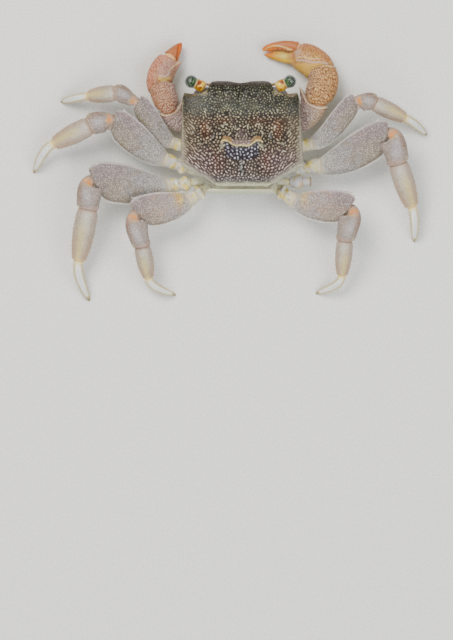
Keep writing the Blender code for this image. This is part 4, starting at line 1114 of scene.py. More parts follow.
def leg_propodus(name, leg, ways):
    """Flattened shank: lengthwise ridges and slanting wrinkles; its hairs are made with the rest of the
    leg.
    """
    t = rows(110, 0.25)
    half = leg.propodus * profile(t, PROPODUS_SHAPE) / 2
    form = tube(path_between(leg.joints[3], leg.joints[4], ways[3], ways[3], t), t, half,
                half * PROPODUS_DEPTH, leg.side, sides=84)
    s, turn, top = form.s, form.turn, form.top
    flat = unrolled(form, half[:, None] * form.angle)
    ridges = (0.08 * hill(turn, 58, 8) + 0.07 * hill(turn, 122, 8)) * soft(s, 0.0, 0.2)
    ridges = ridges * soft(s, 1.0, 0.7)
    bent = flat[..., 0] * 0.6 + flat[..., 1] + 0.25 * waves(flat, 0.9, 3)
    slant = 0.02 * (0.5 + 0.5 * np.sin(bent * 11)) ** 2 * soft(top, 0, 0.3)
    ends = 0.1 * hill(s, 0.975, 0.018) + 0.07 * hill(s, 0.02, 0.02)
    rings = raised(form, ridges + slant + ends + granules(flat, 0.36, 0.03, 6))
    drift = 0.5 + 0.5 * waves(flat, 2.0, 9)
    paint = painted(
        rings, (184, 168, 152),
        # painted highlight: pale line along the top of the shank
        ((216, 214, 202), 0.8 * hill(turn, 92, 30) * soft(s, 0.95, 0.15)),
        ((218, 202, 136), 0.7 * hill(turn, 80, 24) * soft(s, 0.05, 0.5)),
        ((190, 156, 120), 0.6 * (1 - hill(turn, 90, 46)) * soft(s, 0.2, 0.9)),
        ((148, 128, 120), 0.4 * drift * soft(slant, 0.0, 0.02)),
        ((198, 162, 138), 0.5 * soft(s, 0.08, 0.0)),
        ((232, 206, 140), 0.6 * soft(s, 0.95, 1.0) * soft(top, -0.2, 0.3)),
        ((192, 188, 172), 0.7 * soft(-top, 0.0, 0.4)))
    net = 0.3 * soft(top, -0.2, 0.3) * soft(s, 1.0, 0.4)
    piece(name, lipped(rings, 0.05, 0.25), LEG_FINISH, (name,), paint, {"net": net})
    joint_skin(name[:-8] + "shank_skin", leg.joints[3], ways[3], half[0] * 1.05,
               half[0] * PROPODUS_DEPTH * 0.98, leg.side, (190, 172, 156))
    return form


def leg_dactyl(name, leg, ways, hook):
    """Claw-like toe: fluted shaft in bluish white, tan edges and a horny tip; its felt is made with the
    rest of the leg.
    """
    t = rows(96)
    half = leg.dactyl * profile(t, DACTYL_SHAPE) / 2
    form = tube(path_between(leg.joints[4], leg.joints[5], ways[3], hook, t), t, half,
                half * DACTYL_DEPTH, leg.side, sides=60)
    s, turn = form.s, form.turn
    flutes = -0.07 * (hill(turn, 45, 9) + hill(turn, 135, 9) + hill(turn, 225, 9) + hill(turn, 315, 9))
    rings = raised(form, flutes * soft(s, 1.0, 0.8) * soft(s, 0.0, 0.08)
                   + 0.06 * hill(s, 0.02, 0.02))
    rings[..., 2] = np.maximum(rings[..., 2], 0.006)
    paint = painted(
        rings, (234, 236, 228),
        ((212, 222, 236), 0.6 * hill(turn, 80, 18) * hill(s, 0.45, 0.3)),
        ((204, 182, 120), 0.75 * (1 - hill(turn, 90, 48)) * soft(form.top, -0.5, 0.2)),
        ((236, 216, 160), 0.7 * soft(s, 0.14, 0.0)),
        ((168, 148, 74), 0.85 * soft(s, 0.82, 0.93)),
        ((84, 62, 34), 0.8 * soft(s, 0.95, 0.995)))
    piece(name, lipped(rings, 0.04, 0.2), TIP_FINISH, (name,), paint)
    joint_skin(name[:-6] + "toe_skin", leg.joints[4], ways[3], half[0] * 0.96,
               half[0] * DACTYL_DEPTH * 0.96, leg.side, (232, 208, 146))
    return form


def fringe(form, angles, start, end, spacing, length, lean):
    """Roots, directions and lengths of hairs in rows along a tube, leaning towards its tip."""
    long = length_of(form)
    count = max(int(long * (end - start) / spacing), 2)
    roots, ways, lengths = [], [], []
    for k, angle in enumerate(angles):
        s = start + (end - start) * (np.arange(count) + drawn(np.arange(count), k, 7)) / count
        row = np.clip(np.searchsorted(form.s[:, 0], s), 0, len(form.s) - 1)
        column = int(round(angle / 360 * form.angle.shape[1])) % form.angle.shape[1]
        roots.append(form.rings[row, column])
        ways.append(form.out[row, column] + form.heading[row] * lean)
        lengths.append(length * (0.6 + 0.8 * drawn(row, k, 3)))
    return np.concatenate(roots), np.concatenate(ways), np.concatenate(lengths)


def gather(*sets):
    """Several sets of hair roots, directions and lengths as one."""
    return tuple(np.concatenate(parts) for parts in zip(*sets))


def walking_leg(name, leg):
    """All the pieces of one leg, in the order of its segments, and its hairs."""
    leg = leg._replace(joints=np.array(leg.joints, float))
    ways = [unit(step) for step in np.diff(leg.joints, axis=0)]
    ways[2] = ways[3]
    hook = unit(ways[4] + DACTYL_HOOK * (ways[4] - ways[3]) - 0.35 * UP)
    mitre = unit(ways[1] + KNEE_TURN * ways[3])
    end_width = leg.merus * MERUS_SHAPE[0][1] ** leg.fullness / 2
    leg_base(name + "_base", leg.joints[0], leg.joints[1], ways[0],
             COXA_HALF_WIDTH[name[-1]], end_width, leg.side)
    joint_skin(name + "_hip_skin", leg.joints[1], ways[0], end_width * 0.97, end_width * 0.8,
               leg.side, (214, 208, 184))
    leg_merus(name + "_merus", leg, ways, mitre)
    leg_carpus(name + "_carpus", leg, ways, mitre)
    shank = leg_propodus(name + "_propodus", leg, ways)
    toe = leg_dactyl(name + "_dactyl", leg, ways, hook)
    felt = gather(fringe(toe, (40, 50, 130, 140, 215, 225, 315, 325), 0.03, 0.86, 0.07, 0.26, 0.9),
                  fringe(shank, (10, 172, 200, 345), 0.55, 0.98, 0.1, 0.3, 1.2))
    hairs(name + "_felt", *felt, SOFT_HAIR_FINISH, "leg_tip", FELT_RADIUS)
    stiff = gather(fringe(toe, (0, 90, 180), 0.05, 0.9, 0.55, 0.55, 0.8),
                   fringe(shank, (0, 58, 122, 180), 0.1, 0.98, 0.8, 0.6, 0.9))
    hairs(name + "_bristles", *stiff, BRISTLE_FINISH, "leg_tip", BRISTLE_RADIUS)


for leg_name, leg_build in LEGS.items():
    walking_leg(leg_name, leg_build)


# Claws

# joints run from the root to the wrist; roll in degrees; each spine as its root and its tip
Claw = namedtuple(
    "Claw", "side joints palm_end finger_root finger_tip fixed_root fixed_tip merus carpus palm "
    "palm_depth finger roll hook elbow wrist merus_spine carpus_spine palm_spine")
CLAWS = {
    "left_claw": Claw(
        LEFT, ((6.8, 0.0, 3.4), (10.6, -2.0, 3.9), (14.35, -5.75, 4.3), (15.95, -9.85, 3.6)),
        (13.95, -15.75, 2.7), (14.0, -15.9, 3.4), (11.75, -18.95, 2.0), (13.7, -15.2, 1.2),
        (12.0, -18.6, 1.0), 4.2, 5.0, 5.0, 5.0, 3.15, 40.0, 0.0, (0.3, -0.95, 0.0),
        (0.4, -0.91, -0.1), ((12.4, -5.1, 4.4), (11.35, -7.5, 4.6)),
        ((14.6, -8.9, 4.4), (13.4, -10.7, 4.7)), ((13.1, -14.0, 3.4), (11.75, -15.1, 3.4))),
    "right_claw": Claw(
        RIGHT, ((-6.8, 0.0, 3.4), (-10.7, -2.2, 3.9), (-15.2, -7.4, 4.3), (-16.1, -13.05, 3.4)),
        (-11.0, -16.55, 2.3), (-11.2, -18.0, 2.4), (-4.25, -17.4, 1.6), (-10.7, -15.65, 1.7),
        (-4.7, -16.55, 1.2), 5.0, 6.35, 6.25, 4.8, 2.35, 12.0, 0.45, (-0.34, -0.94, 0.0),
        (0.42, -0.9, -0.1), ((-12.7, -6.6, 4.4), (-11.6, -10.3, 4.8)),
        ((-14.5, -9.3, 4.2), (-13.3, -10.3, 4.2)), None),
}
CLAW_BASE_SHAPE = ((0.0, 1.5), (0.3, 1.65), (0.55, 1.35), (1.0, 1.5))
CLAW_MERUS_SHAPE = ((0.0, 0.6), (0.25, 0.85), (0.7, 1.0), (0.9, 1.0), (1.0, 0.92))
CLAW_CARPUS_SHAPE = ((0.0, 0.72), (0.2, 0.93), (0.5, 1.0), (0.8, 0.98), (1.0, 0.92))
PALM_SHAPE = ((0.0, 0.94), (0.2, 1.0), (0.5, 1.0), (0.8, 0.93), (1.0, 0.76))
FINGER_SHAPE = ((0.0, 0.98), (0.2, 0.86), (0.55, 0.64), (0.85, 0.36), (1.0, 0.14))
FIXED_SHAPE = ((0.0, 1.1), (0.35, 1.1), (0.62, 0.9), (0.88, 0.5), (1.0, 0.18))
ELBOW_BOW, WRIST_BOW = -1.0, 1.15   # how far the joints' edges bend along the limb
PALM_SHARE, FIXED_FROM, FIXED_SHARE = 0.62, 0.42, 0.58   # how much of the piece each tube takes
SHOULDER = (0.55, 0.68)                  # where the palm fades into its fixed finger
FIXED_RUN_IN = 2.0                       # how far inside the palm the fixed finger begins
WRIST_SKEW = {LEFT: -0.15, RIGHT: 0.5}
CARPUS_BEADS = {LEFT: (1.1, 0.27), RIGHT: (2.1, 0.21)}   # stretch along the limb, spacing

# Colours of each claw: ground, beads, dark between the beads, horny tip, smooth yellow parts
CLAW_TONES = {
    LEFT: ((188, 146, 116), (216, 190, 168), (134, 90, 68), (202, 106, 44), (212, 188, 112)),
    RIGHT: ((190, 146, 94), (220, 190, 140), (134, 84, 54), (206, 132, 50), (206, 172, 88)),
}


def bowed(form, first, last, skew=0.0, reach=0.4):
    """Rings whose end edges bend into arcs: moved along the limb, most at half its width."""
    across = form.side * unit(np.cross(form.heading, UP))[:, None]
    u = ((form.rings - form.centre[:, None]) * across).sum(-1)
    u = u / np.abs(u).max(axis=1, keepdims=True)
    arc = (1 - np.abs(u) ** 3) * (1 + skew * u)
    shift = arc * (first * soft(form.s, reach, 0.0) + last * soft(form.s, 1 - reach, 1.0))
    return form._replace(rings=form.rings + form.heading[:, None] * shift[..., None])


def spined(rings, ends, reach=1.15):
    """Rings with one corner drawn out to a spine's tip, where the segment has a spine."""
    if ends is None:
        return rings
    root, tip = (np.array(end) for end in ends)
    flat = rings.reshape(-1, 3)
    corner = flat[np.linalg.norm(flat - (root + 0.45 * (tip - root)), axis=1).argmin()]
    return pulled(rings, corner, reach, tip - corner, 1.25)


def beads_on(form, stretch, spacing, seed, bend=0.12):
    """Beads on the limb's skin rolled out flat, its seam below: how high each place stands on
    its bead, from 0 between beads to 1, and the bead's number. Beads are longer by the stretch."""
    round_it = 0.9 * form.half.mean() * np.mod(form.angle + np.pi / 2, 2 * np.pi)
    flat = unrolled(form, round_it)[..., ::-1] / (1, stretch)
    near, second, mark = cells(flat + bend * waves(form.rings, 0.7, 2)[..., None], spacing, seed, 0.7)
    return soft((second - near) / spacing, 0.02, 0.4) * soft(near / spacing, 0.5, 0.2), mark


def claw_skin(name, place, way, half, depth, side, bow, skew=0.0):
    """Skin that shows as a shallow groove between two segments, bent like their edges."""
    form = folded(place, way, half, depth, side, 0.65, 0.04, 12, 64)[0]
    rings = bowed(form, bow, bow, skew, 0.999).rings
    paint = painted(rings, (190, 140, 96))
    piece(name, rounded_off(rings, 0.2), SKIN_FINISH, (), paint)


def claw_base(name, claw, way):
    """Coxa and basis of a claw: smooth and cream, folded, with a knob in front."""
    t = rows(56)
    half = profile(t, CLAW_BASE_SHAPE)
    form = tube(path_between(claw.joints[0] - way * GAP / 2, claw.joints[1], way, way, t), t, half,
                half * 0.88, claw.side, sides=72)
    s = form.s
    folds = -0.07 * ripple(s * 30) ** 3 * soft(s, 0.35, 0.6)
    knob = 0.28 * hill(s, 0.78, 0.13) * np.clip(np.cos(form.angle - 0.3), 0, 1) ** 3
    rings = raised(form, folds + knob + 0.05 * waves(form.rings, 1.0, 6))
    paint = painted(
        rings, (222, 206, 160),
        ((236, 234, 222), soft(knob, 0.03, 0.2) + 0.5 * hill(s, 0.25, 0.1)),
        ((208, 178, 112), 0.6 * soft(-folds, 0.01, 0.06)),
        ((184, 156, 108), 0.5 * hill(s, 0.52, 0.05)))
    piece(name + "_base", lipped(rings, 0.05, 0.2), TIP_FINISH, (name + "_base",), paint)
    joint_skin(name + "_shoulder_skin", claw.joints[1], way, 1.3, 1.12, claw.side, (210, 186, 146))


def claw_merus(name, claw, way):
    """Upper arm of a claw: granules above, crenate edges, a pale collar and an inner spine."""
    side = claw.side
    t = rows(120, 0.3)
    half = claw.merus * profile(t, CLAW_MERUS_SHAPE) / 2
    path = path_between(claw.joints[1], claw.joints[2], way, claw.elbow, t)
    form = bowed(tube(path, t, half, half * 0.72, side, sides=120), 0.0, ELBOW_BOW)
    s, top, across = form.s, form.top, form.front
    dome, mark = beads_on(form, 1.3, 0.36, 4)
    upper = soft(top, -0.3, 0.2)
    beads = 0.05 * dome * upper
    edge = 0.1 * ripple(s * 62) * soft(np.abs(across), 0.93, 0.99)
    collar = 0.12 * hill(s, 0.955, 0.022) - 0.06 * hill(s, 0.9, 0.02)
    rings = spined(raised(form, beads + edge + collar), claw.merus_spine)
    paint = painted(
        rings, (170, 152, 144),
        (CLAW_TONES[side][0], 0.4 * soft(s, 0.5, 0.9)),
        ((146, 126, 134), 0.5 * soft(waves(form.rings, 1.2, 2), -0.1, 0.7)))
    if side == RIGHT:
        outer = soft(-across + 0.3 * waves(form.rings, 0.7, 9), 0.1, 0.9)
        paint = layered(paint, ((196, 168, 112), 0.6 * outer * soft(s, 0.1, 0.5)))
    paint = layered(
        paint,
        ((118, 92, 84), 0.5 * soft(dome, 0.4, 0.0) * upper),
        ((214, 204, 192), (0.25 + 0.6 * mark) * soft(dome, 0.3, 0.8) * upper),
        # painted shade: thin brown line in the groove behind the pale collar
        ((150, 104, 76), 0.5 * hill(s, 0.895, 0.02)),
        ((228, 210, 178), 0.85 * hill(s, 0.955, 0.026)),
        ((214, 196, 152), 0.75 * soft(-top, 0.0, 0.4)))
    piece(name + "_merus", lipped(rings, 0.05, 0.3), CLAW_FINISH, (name + "_merus",), paint)
    claw_skin(name + "_elbow_skin", claw.joints[2], claw.elbow, half[-1] * 0.9, half[-1] * 0.64,
              side, ELBOW_BOW)


def claw_carpus(name, claw):
    """Wrist of a claw, domed and covered in granules, with a smooth rim and an inner spine."""
    side = claw.side
    ground, bead_tone, dark = (colour(*rgb) for rgb in CLAW_TONES[side][:3])
    t = rows(150, 0.2)
    half = claw.carpus * profile(t, CLAW_CARPUS_SHAPE) / 2
    path = path_between(claw.joints[2], claw.joints[3], claw.elbow, claw.wrist, t)
    form = bowed(tube(path, t, half, half * 0.8, side, sides=176), ELBOW_BOW, WRIST_BOW,
                 WRIST_SKEW[side])
    s, top, across = form.s, form.top, form.front
    upper = soft(top, -0.5, 0.0)
    dome, mark = beads_on(form, *CARPUS_BEADS[side], 9)
    beads = (0.06 + 0.04 * mark) * dome * upper
    rim = 0.1 * hill(s, 0.975, 0.015) - 0.06 * hill(s, 0.94, 0.015)
    straight = -0.4 * soft(across, 0.3, 0.95) * hill(s, 0.5, 0.32) * (side == RIGHT)
    rings = spined(raised(form, beads + rim + straight), claw.carpus_spine)
    paint = layered(
        ground + 0 * rings,
        (dark, 0.3 * soft(waves(form.rings, 1.3, 3), -0.2, 0.7)),
        ((188, 170, 172), 0.6 * soft(across, 0.2, 0.9)),
        ((198, 134, 92), 0.5 * soft(-across, 0.4, 0.95)))
    if side == LEFT:
        paint = layered(
            paint,
            (dark * 0.8, 0.6 * soft(dome, 0.35, 0.02) * upper),
            (bead_tone, (0.35 + 0.5 * mark) * soft(dome, 0.3, 0.8) * upper))
    else:
        paint = layered(
            paint,
            (bead_tone, (0.32 + 0.6 * mark) * soft(dome, 0.1, 0.55) * upper),
            (dark * 0.6, 0.72 * soft(dome, 0.22, 0.0) * upper))
    paint = layered(
        paint,
        ((222, 202, 160), 0.6 * hill(s, 0.978, 0.018)),
        ((222, 206, 150), 0.8 * soft(-top, 0.05, 0.5)))
    piece(name + "_carpus", lipped(rings, 0.05, 0.3), CLAW_FINISH, (name + "_carpus",),
          paint)
    claw_skin(name + "_wrist_skin", claw.joints[3], claw.wrist, half[-1] * 0.92, half[-1] * 0.74,
              side, WRIST_BOW, WRIST_SKEW[side])


PALM_LINES = {  # a pale raised line and a reddish crease of each palm, in the plan
    LEFT: (((16.2, -12.4), (15.6, -12.2), (14.7, -12.2), (14.2, -12.9)),
           ((16.7, -11.9), (16.55, -11.5), (16.2, -11.3))),
    RIGHT: (((-11.3, -15.4), (-12.9, -15.3), (-14.3, -14.9), (-16.1, -15.0), (-17.3, -14.7)),
            ((-10.4, -17.0), (-10.7, -16.2), (-10.5, -15.5), (-11.0, -14.9))),
}
PALM_FLANK = {LEFT: ((18.3, -10.0), (18.1, -12.4), (16.9, -14.8), (15.0, -16.6)),
              RIGHT: ((-12.4, -19.2), (-15.0, -18.6), (-18.0, -16.2))}
PALM_SMOOTH = ((16.3, -11.75), (15.5, -11.6), (14.4, -11.8))   # on the left palm alone
PALM_CREAM = {LEFT: ((14.2, -13.4), (13.3, -14.2), (12.2, -15.0)),
              RIGHT: ((-11.3, -15.9), (-12.4, -16.1), (-14.0, -15.6), (-15.6, -15.7))}
FINGER_LINE = {LEFT: ((12.4, -18.7), (12.55, -17.0), (12.75, -15.7)),
               RIGHT: ((-4.5, -17.3), (-5.5, -17.9), (-6.6, -18.3), (-7.8, -18.25), (-9.1, -17.9),
                       (-10.2, -17.5))}
FINGER_ROOT_LINE = ((14.8, -16.5), (13.9, -16.0), (13.0, -15.4))   # on the left finger alone


def palm_form(claw, palm_way):
    """Palm that runs on into its fixed finger: two tubes whose rings cross-fade at the shoulder.

    Gives the palm's own tube, the joined rings, their outward directions and the places along them.
    """
    side = claw.side
    t = rows(210)
    first = np.clip(t / PALM_SHARE, 0, 1)
    last = np.clip((t - FIXED_FROM) / FIXED_SHARE, 0, 1)
    half, depth = (size * profile(first, PALM_SHAPE) / 2 for size in (claw.palm, claw.palm_depth))
    hand = tube(path_between(claw.joints[3], claw.joints[4], claw.wrist, palm_way, first), t, half,
                depth, side, claw.roll, 180, 0.85)
    hand = bowed(hand, WRIST_BOW, 0.0, WRIST_SKEW[side], 0.25)
    fixed_way = unit(np.array(claw.fixed_tip) - np.array(claw.fixed_root))
    start = np.array(claw.fixed_root) - fixed_way * FIXED_RUN_IN
    thin = profile(last, FIXED_SHAPE)
    finger = tube(path_between(start, claw.fixed_tip, fixed_way, fixed_way, last), t, thin,
                  thin * 0.75, side, claw.roll * (1 - last), 180)
    share = soft(t, *SHOULDER)[:, None, None]
    rings = hand.rings * (1 - share) + finger.rings * share
    return hand, rings, unit(hand.out * (1 - share) + finger.out * share), t[:, None]


def claw_palm(name, claw, palm_way):
    """Palm and fixed finger: beads, a pale raised line and a crease on top, a toothed biting edge."""
    side = claw.side
    ground, bead_tone, dark, tip_tone, yellow = (colour(*rgb) for rgb in CLAW_TONES[side])
    hand, rings, out, long = palm_form(claw, palm_way)
    upper = soft(out[..., 2], -0.2, 0.25)
    on_palm = soft(long, 0.6, 0.5)
    x, y = rings[..., 0], rings[..., 1]
    crest = hill(to_line(x, y, PALM_LINES[side][0]), 0, 0.16) * upper
    crease = hill(to_line(x, y, PALM_LINES[side][1]), 0, 0.2) * upper
    cream = hill(to_line(x, y, PALM_CREAM[side]), 0, 0.12) * upper
    smooth = upper * (soft(y, -15.1, -14.4) * soft(x, -17.6, -16.6) if side == RIGHT else
                      hill(to_line(x, y, PALM_SMOOTH), 0, 0.42))
    dome, mark = beads_on(hand, 1.2, 0.28, 14, 0.3)
    beads = (0.02 + 0.035 * mark) * dome * upper * (0.25 + 0.75 * on_palm) * (1 - 0.9 * smooth)
    bite = (0.12 * ripple(long * 120) ** 2 + 0.22) * soft(-out[..., 1], 0.6, 1.0)
    bite = bite * soft(long, 0.66, 0.76) * soft(long, 0.98, 0.88) * (side == RIGHT)
    height = (beads + 0.1 * crest * (0.75 + 0.25 * np.cos(x * 14)) + 0.06 * cream - 0.1 * crease
              + 0.08 * hill(long, 0.015, 0.012) - 0.08 * smooth * (side == LEFT) + bite)
    rings = spined(rings + out * height[..., None], claw.palm_spine, 1.0)
    rings[..., 2] = np.maximum(rings[..., 2], 0.0)
    flank = to_line(x, y, PALM_FLANK[side])
    paint = ground + 0 * rings
    if side == LEFT:
        paint = layered(
            paint,
            ((178, 152, 150), 0.6 * patch(x, y, (14.6, -14.0), (1.6, 1.7))),
            ((214, 146, 118), 0.75 * soft(flank, 1.2, 0.3)))
    else:
        paint = layered(
            paint,
            ((200, 136, 100), 0.6 * soft(flank, 1.6, 0.4)),
            ((206, 172, 96), 0.55 * patch(x, y, (-14.4, -16.0), (2.6, 0.8))),
            ((196, 176, 168), 0.7 * patch(x, y, (-11.5, -16.9), (0.7, 0.9))))
    paint = layered(
        paint,
        ((196, 160, 156), 0.3 * soft(waves(rings, 1.2, 5), 0.0, 0.8) * upper),
        (dark, 0.55 * soft(dome, 0.3, 0.0) * upper * on_palm),
        (bead_tone, (0.05 + 0.38 * mark) * soft(dome, 0.3, 0.8) * upper),
        (yellow, 0.8 * smooth * on_palm),
        ((206, 190, 192), 0.6 * crest),
        ((226, 208, 156), 0.65 * cream),
        ((160, 90, 64), 0.55 * crease))
    tip_zone = soft(long, 0.6, 0.7)
    if side == RIGHT:
        paint = layered(
            paint,
            ((208, 160, 48), 0.95 * tip_zone),
            ((204, 202, 126), 0.8 * patch(x, y, (-8.7, -16.3), (1.2, 0.6)) * tip_zone),
            ((226, 202, 84), 0.6 * patch(x, y, (-9.2, -15.3), (1.6, 0.4))),
            ((178, 96, 34), 0.7 * patch(x, y, (-5.9, -16.8), (0.9, 0.45))))
    paint = layered(
        paint,
        (tip_tone, 0.8 * soft(long, 0.84, 0.97)),
        ((222, 202, 144), 0.8 * soft(-out[..., 2], 0.05, 0.5) * on_palm))
    piece(name + "_palm", rounded_off(rings, 0.25), CLAW_FINISH, (name + "_palm",), paint)


def claw_finger(name, claw, palm_way, reach, bulge):
    """Movable finger: low tubercles along its back, teeth on its biting edge, a horny tip."""
    side = claw.side
    tip_tone = CLAW_TONES[side][3]
    t = rows(130)
    root = np.array(claw.finger_root)
    root = root - palm_way * ((root - claw.joints[4]) @ palm_way)
    half = claw.finger * profile(t, FINGER_SHAPE) / 2
    form = tube(path_between(root, claw.finger_tip, palm_way, reach - bulge, t), t, half,
                half * 0.8, side, sides=96)
    s, turn, top = form.s, form.turn, form.top
    upper = soft(top, -0.1, 0.3)
    x, y = form.rings[..., 0], form.rings[..., 1]
    ridge = hill(to_line(x, y, FINGER_LINE[side]), 0, 0.17) * upper
    knobs = 0.08 * ripple(s * 2 * np.pi * 9) ** 2 * hill(turn, 150, 12)
    knobs = knobs * soft(s, 0.06, 0.15) * soft(s, 0.85, 0.6)
    knobs = knobs + 0.14 * soft(s, 0.55, 0.9) * (side == RIGHT)
    teeth = 0.1 * ripple(s * 2 * np.pi * 8) ** 2 + 0.24
    teeth = teeth * soft(form.front, 0.6, 1.0) * soft(s, 0.05, 0.25)
    teeth = teeth * soft(s, 0.95, 0.8) * (side == RIGHT)
    rings = raised(form, knobs + teeth + (0.08 if side == RIGHT else -0.12) * ridge
                   + 0.05 * hill(s, 0.02, 0.02) + 0.02 * waves(form.rings, 0.6, 3))
    speck = soft(waves(form.rings, 0.28, 7), 0.1, 0.6)
    if side == LEFT:
        inner = soft(x, 12.9, 12.4)
        root_line = hill(to_line(x, y, FINGER_ROOT_LINE), 0, 0.22)
        paint = painted(
            rings, (192, 134, 94),
            ((206, 130, 64), inner),
            ((168, 118, 92), 0.5 * speck * (1 - inner)),
            ((226, 200, 176), 0.8 * root_line * upper),
            ((158, 84, 40), 0.75 * ridge))
    else:
        paint = painted(
            rings, (190, 130, 84),
            ((168, 104, 74), 0.6 * speck),
            ((190, 150, 120), 0.5 * soft(y, -17.75, -17.45)),
            (tip_tone, soft(x, -7.6, -5.8)),
            ((232, 208, 156), 0.85 * ridge))
    paint = layered(
        paint,
        (tip_tone, 0.6 * soft(s, 0.5, 0.85)),
        ((228, 196, 132), 0.6 * soft(-top, 0.0, 0.5) * soft(s, 0.8, 0.4)),
        ((236, 214, 170), 0.4 * soft(s, 0.95, 1.0)))
    piece(name + "_finger", lipped(rings, 0.05, 0.2), FINGER_FINISH,
          (name + "_finger",), paint)
    joint_skin(name + "_finger_skin", root, palm_way, half[0] * 0.85, half[0] * 0.68, side,
               (222, 178, 130))


def claw(name, sizes):
    """All the pieces of one claw."""
    joints = np.array((*sizes.joints, sizes.palm_end), float)
    sizes = sizes._replace(joints=joints, elbow=unit(sizes.elbow), wrist=unit(sizes.wrist))
    ways = [unit(step) for step in np.diff(joints, axis=0)]
    reach = unit(np.array(sizes.finger_tip) - np.array(sizes.finger_root))
    bulge = -sizes.side * np.cross(reach, UP) * sizes.hook
    palm_way = unit(reach + bulge)
    claw_base(name, sizes, ways[0])
    claw_merus(name, sizes, ways[0])
    claw_carpus(name, sizes)
    claw_palm(name, sizes, palm_way)
    claw_finger(name, sizes, palm_way, reach, bulge)


for claw_name, claw_build in CLAWS.items():
    claw(claw_name, claw_build)


# Eyes, feelers and mouth

STALK = ((7.1, -9.8, 9.45), (8.95, -10.65, 9.75))
STALK_HALF_WIDTH = ((0.0, 0.95), (0.35, 1.2), (1.0, 1.05))
EYE_RADIUS, EYE_RIM_RADIUS = 1.32, 1.07
CORNEA_DEPTH, FACET_SIZE = 0.3, 0.13
ANTENNA = ((5.2, -10.0, 7.8), (8.5, -11.2, 7.0))
ANTENNA_HALF_WIDTH = ((0.0, 0.5), (0.3, 0.42), (0.45, 0.3), (1.0, 0.12))
CHEEK = ((6.8, -6.5, 5.6), (3.0, 3.5, 2.6))
CHEEK_SQUARE = 0.75
MAXILLIPED = ((1.95, -2.3, 3.75), (3.1, -7.9, 3.75))
MAXILLIPED_HALF_WIDTH = ((0.0, 1.45), (0.2, 1.6), (0.35, 1.25), (0.7, 0.95), (1.0, 0.5))
MOUTH_FRONT, MOUTH_LENGTH = -9.0, 6.05
JAWS = (  # start, end, half width and tone of each jaw plate
    ((0.75, -6.9, 4.5), (1.3, -4.5, 4.4), 0.5, (206, 186, 146)),
    ((0.42, -7.5, 4.3), (0.35, -3.9, 4.2), 0.3, (168, 120, 72)),
    ((1.25, -8.0, 4.4), (0.4, -7.2, 4.1), 0.34, (222, 204, 170)),
)
JAW_SHAPE = ((0.0, 0.5), (0.35, 1.0), (0.75, 0.8), (1.0, 0.3))


def on_side(point, side):
    """A point of the left side, or its mirror image on the right."""
    return np.array(point) * (side, 1, 1)


def ball(centre, radii, square, count, sides):
    """Rings of an ellipsoid from pole to pole, boxier where square is below 1."""
    lift = np.radians(np.linspace(-88, 88, count))[:, None]
    turn = np.arange(sides) * 2 * np.pi / sides

    def power(wave):
        return np.sign(wave) * np.abs(wave) ** square
    level = power(np.cos(lift))
    shape = np.stack((level * power(np.cos(turn)), level * power(np.sin(turn)),
                      power(np.sin(lift)) + 0 * turn), axis=2)
    return np.array(centre) + shape * np.array(radii), unit(shape / np.array(radii))


def eye_stalk(side, word):
    """Stalk with its red and yellow marks. Gives the place and the direction of its end."""
    start, end = (on_side(point, side) for point in STALK)
    heading = unit(end - start)
    t = rows(64)
    half = profile(t, STALK_HALF_WIDTH)
    form = tube(path_between(start, end, heading, heading, t), t, half, half, side, sides=72)
    s, turn = form.s, form.turn
    waist, rim = 0.06 * hill(s, 0.3, 0.06), 0.05 * hill(s, 0.96, 0.04)
    rings = raised(form, 0.05 * waves(form.rings, 0.5, 3) - waist + rim)
    blot = waves(form.rings, 0.55, 9)
    paint = painted(
        rings, (226, 192, 62),
        ((232, 212, 130), 0.8 * soft(waves(form.rings, 0.8, 2), 0.1, 0.6)),
        ((206, 140, 30), 0.7 * soft(blot, -0.2, 0.2) * hill(turn, 90, 60)),
        ((132, 42, 16), 0.95 * soft(blot, 0.0, 0.22) * hill(turn, 80, 60) * soft(s, 0.2, 0.45)),
        ((168, 150, 116), 0.7 * soft(s, 0.25, 0.0)),
        ((228, 216, 170), 0.7 * soft(-form.top, 0.1, 0.6)))
    piece(word + "_eye_stalk", lipped(rings, 0.05, 0.2), STALK_FINISH,
          (word + "_eye_stalk",), paint)
    return end, heading


def eye(side, word, end, heading):
    """Clear cornea over a dark faceted core, both domes on the stalk's end, and a rim round them."""
    swing = np.radians(np.linspace(50, 180, 60))[:-1]
    along = -np.cos(swing)

    def globe(radius, back=0.0):
        points = end + heading * (GAP / 2 + radius * along - EYE_RADIUS * along[0] - back)[:, None]
        size = np.sin(swing) * radius
        return tube(straight(points, heading), rows(len(swing)), size, size, side, sides=90)
    clear = globe(EYE_RADIUS)
    piece(word + "_cornea", clear.rings, CORNEA_FINISH, (word + "_eye",))
    core = globe(EYE_RADIUS - CORNEA_DEPTH, 0.05)
    facets = raised(core, 0.012 * soft(cells(core.rings, FACET_SIZE, 2)[0], 0.08, 0.0))
    # painted glints: the lighter green on the upper side near the stalk and the pale grey spot on top
    paint = painted(
        facets, (56, 70, 52),
        ((86, 118, 66), 0.8 * soft(core.top, 0.0, 0.9) * soft(core.s, 0.6, 0.25)),
        ((168, 176, 160), 0.75 * hill(core.s, 0.5, 0.14) * hill(core.turn, 84, 34)),
        ((34, 40, 34), 0.7 * hill(core.s, 0.36, 0.07)),
        ((30, 36, 32), 0.7 * soft(core.s, 0.6, 0.85)))
    piece(word + "_eye_core", facets, EYE_FINISH, (), paint)
    s, half = rows(16), np.full(16, EYE_RIM_RADIUS)
    path = straight(end + heading * np.linspace(-0.05, 0.25, 16)[:, None], heading)
    rim = tube(path, s, half, half, side, sides=80)
    scallop = 0.05 * np.cos(np.arange(80) * 2 * np.pi / 8) * soft(rim.s, 0, 1)
    ring_paint = painted(rim.rings, (196, 176, 120), ((120, 116, 92), soft(rim.s, 0.4, 1.0)))
    piece(word + "_eye_rim", rounded_off(raised(rim, scallop), 0.1), STALK_FINISH, (),
          ring_paint)


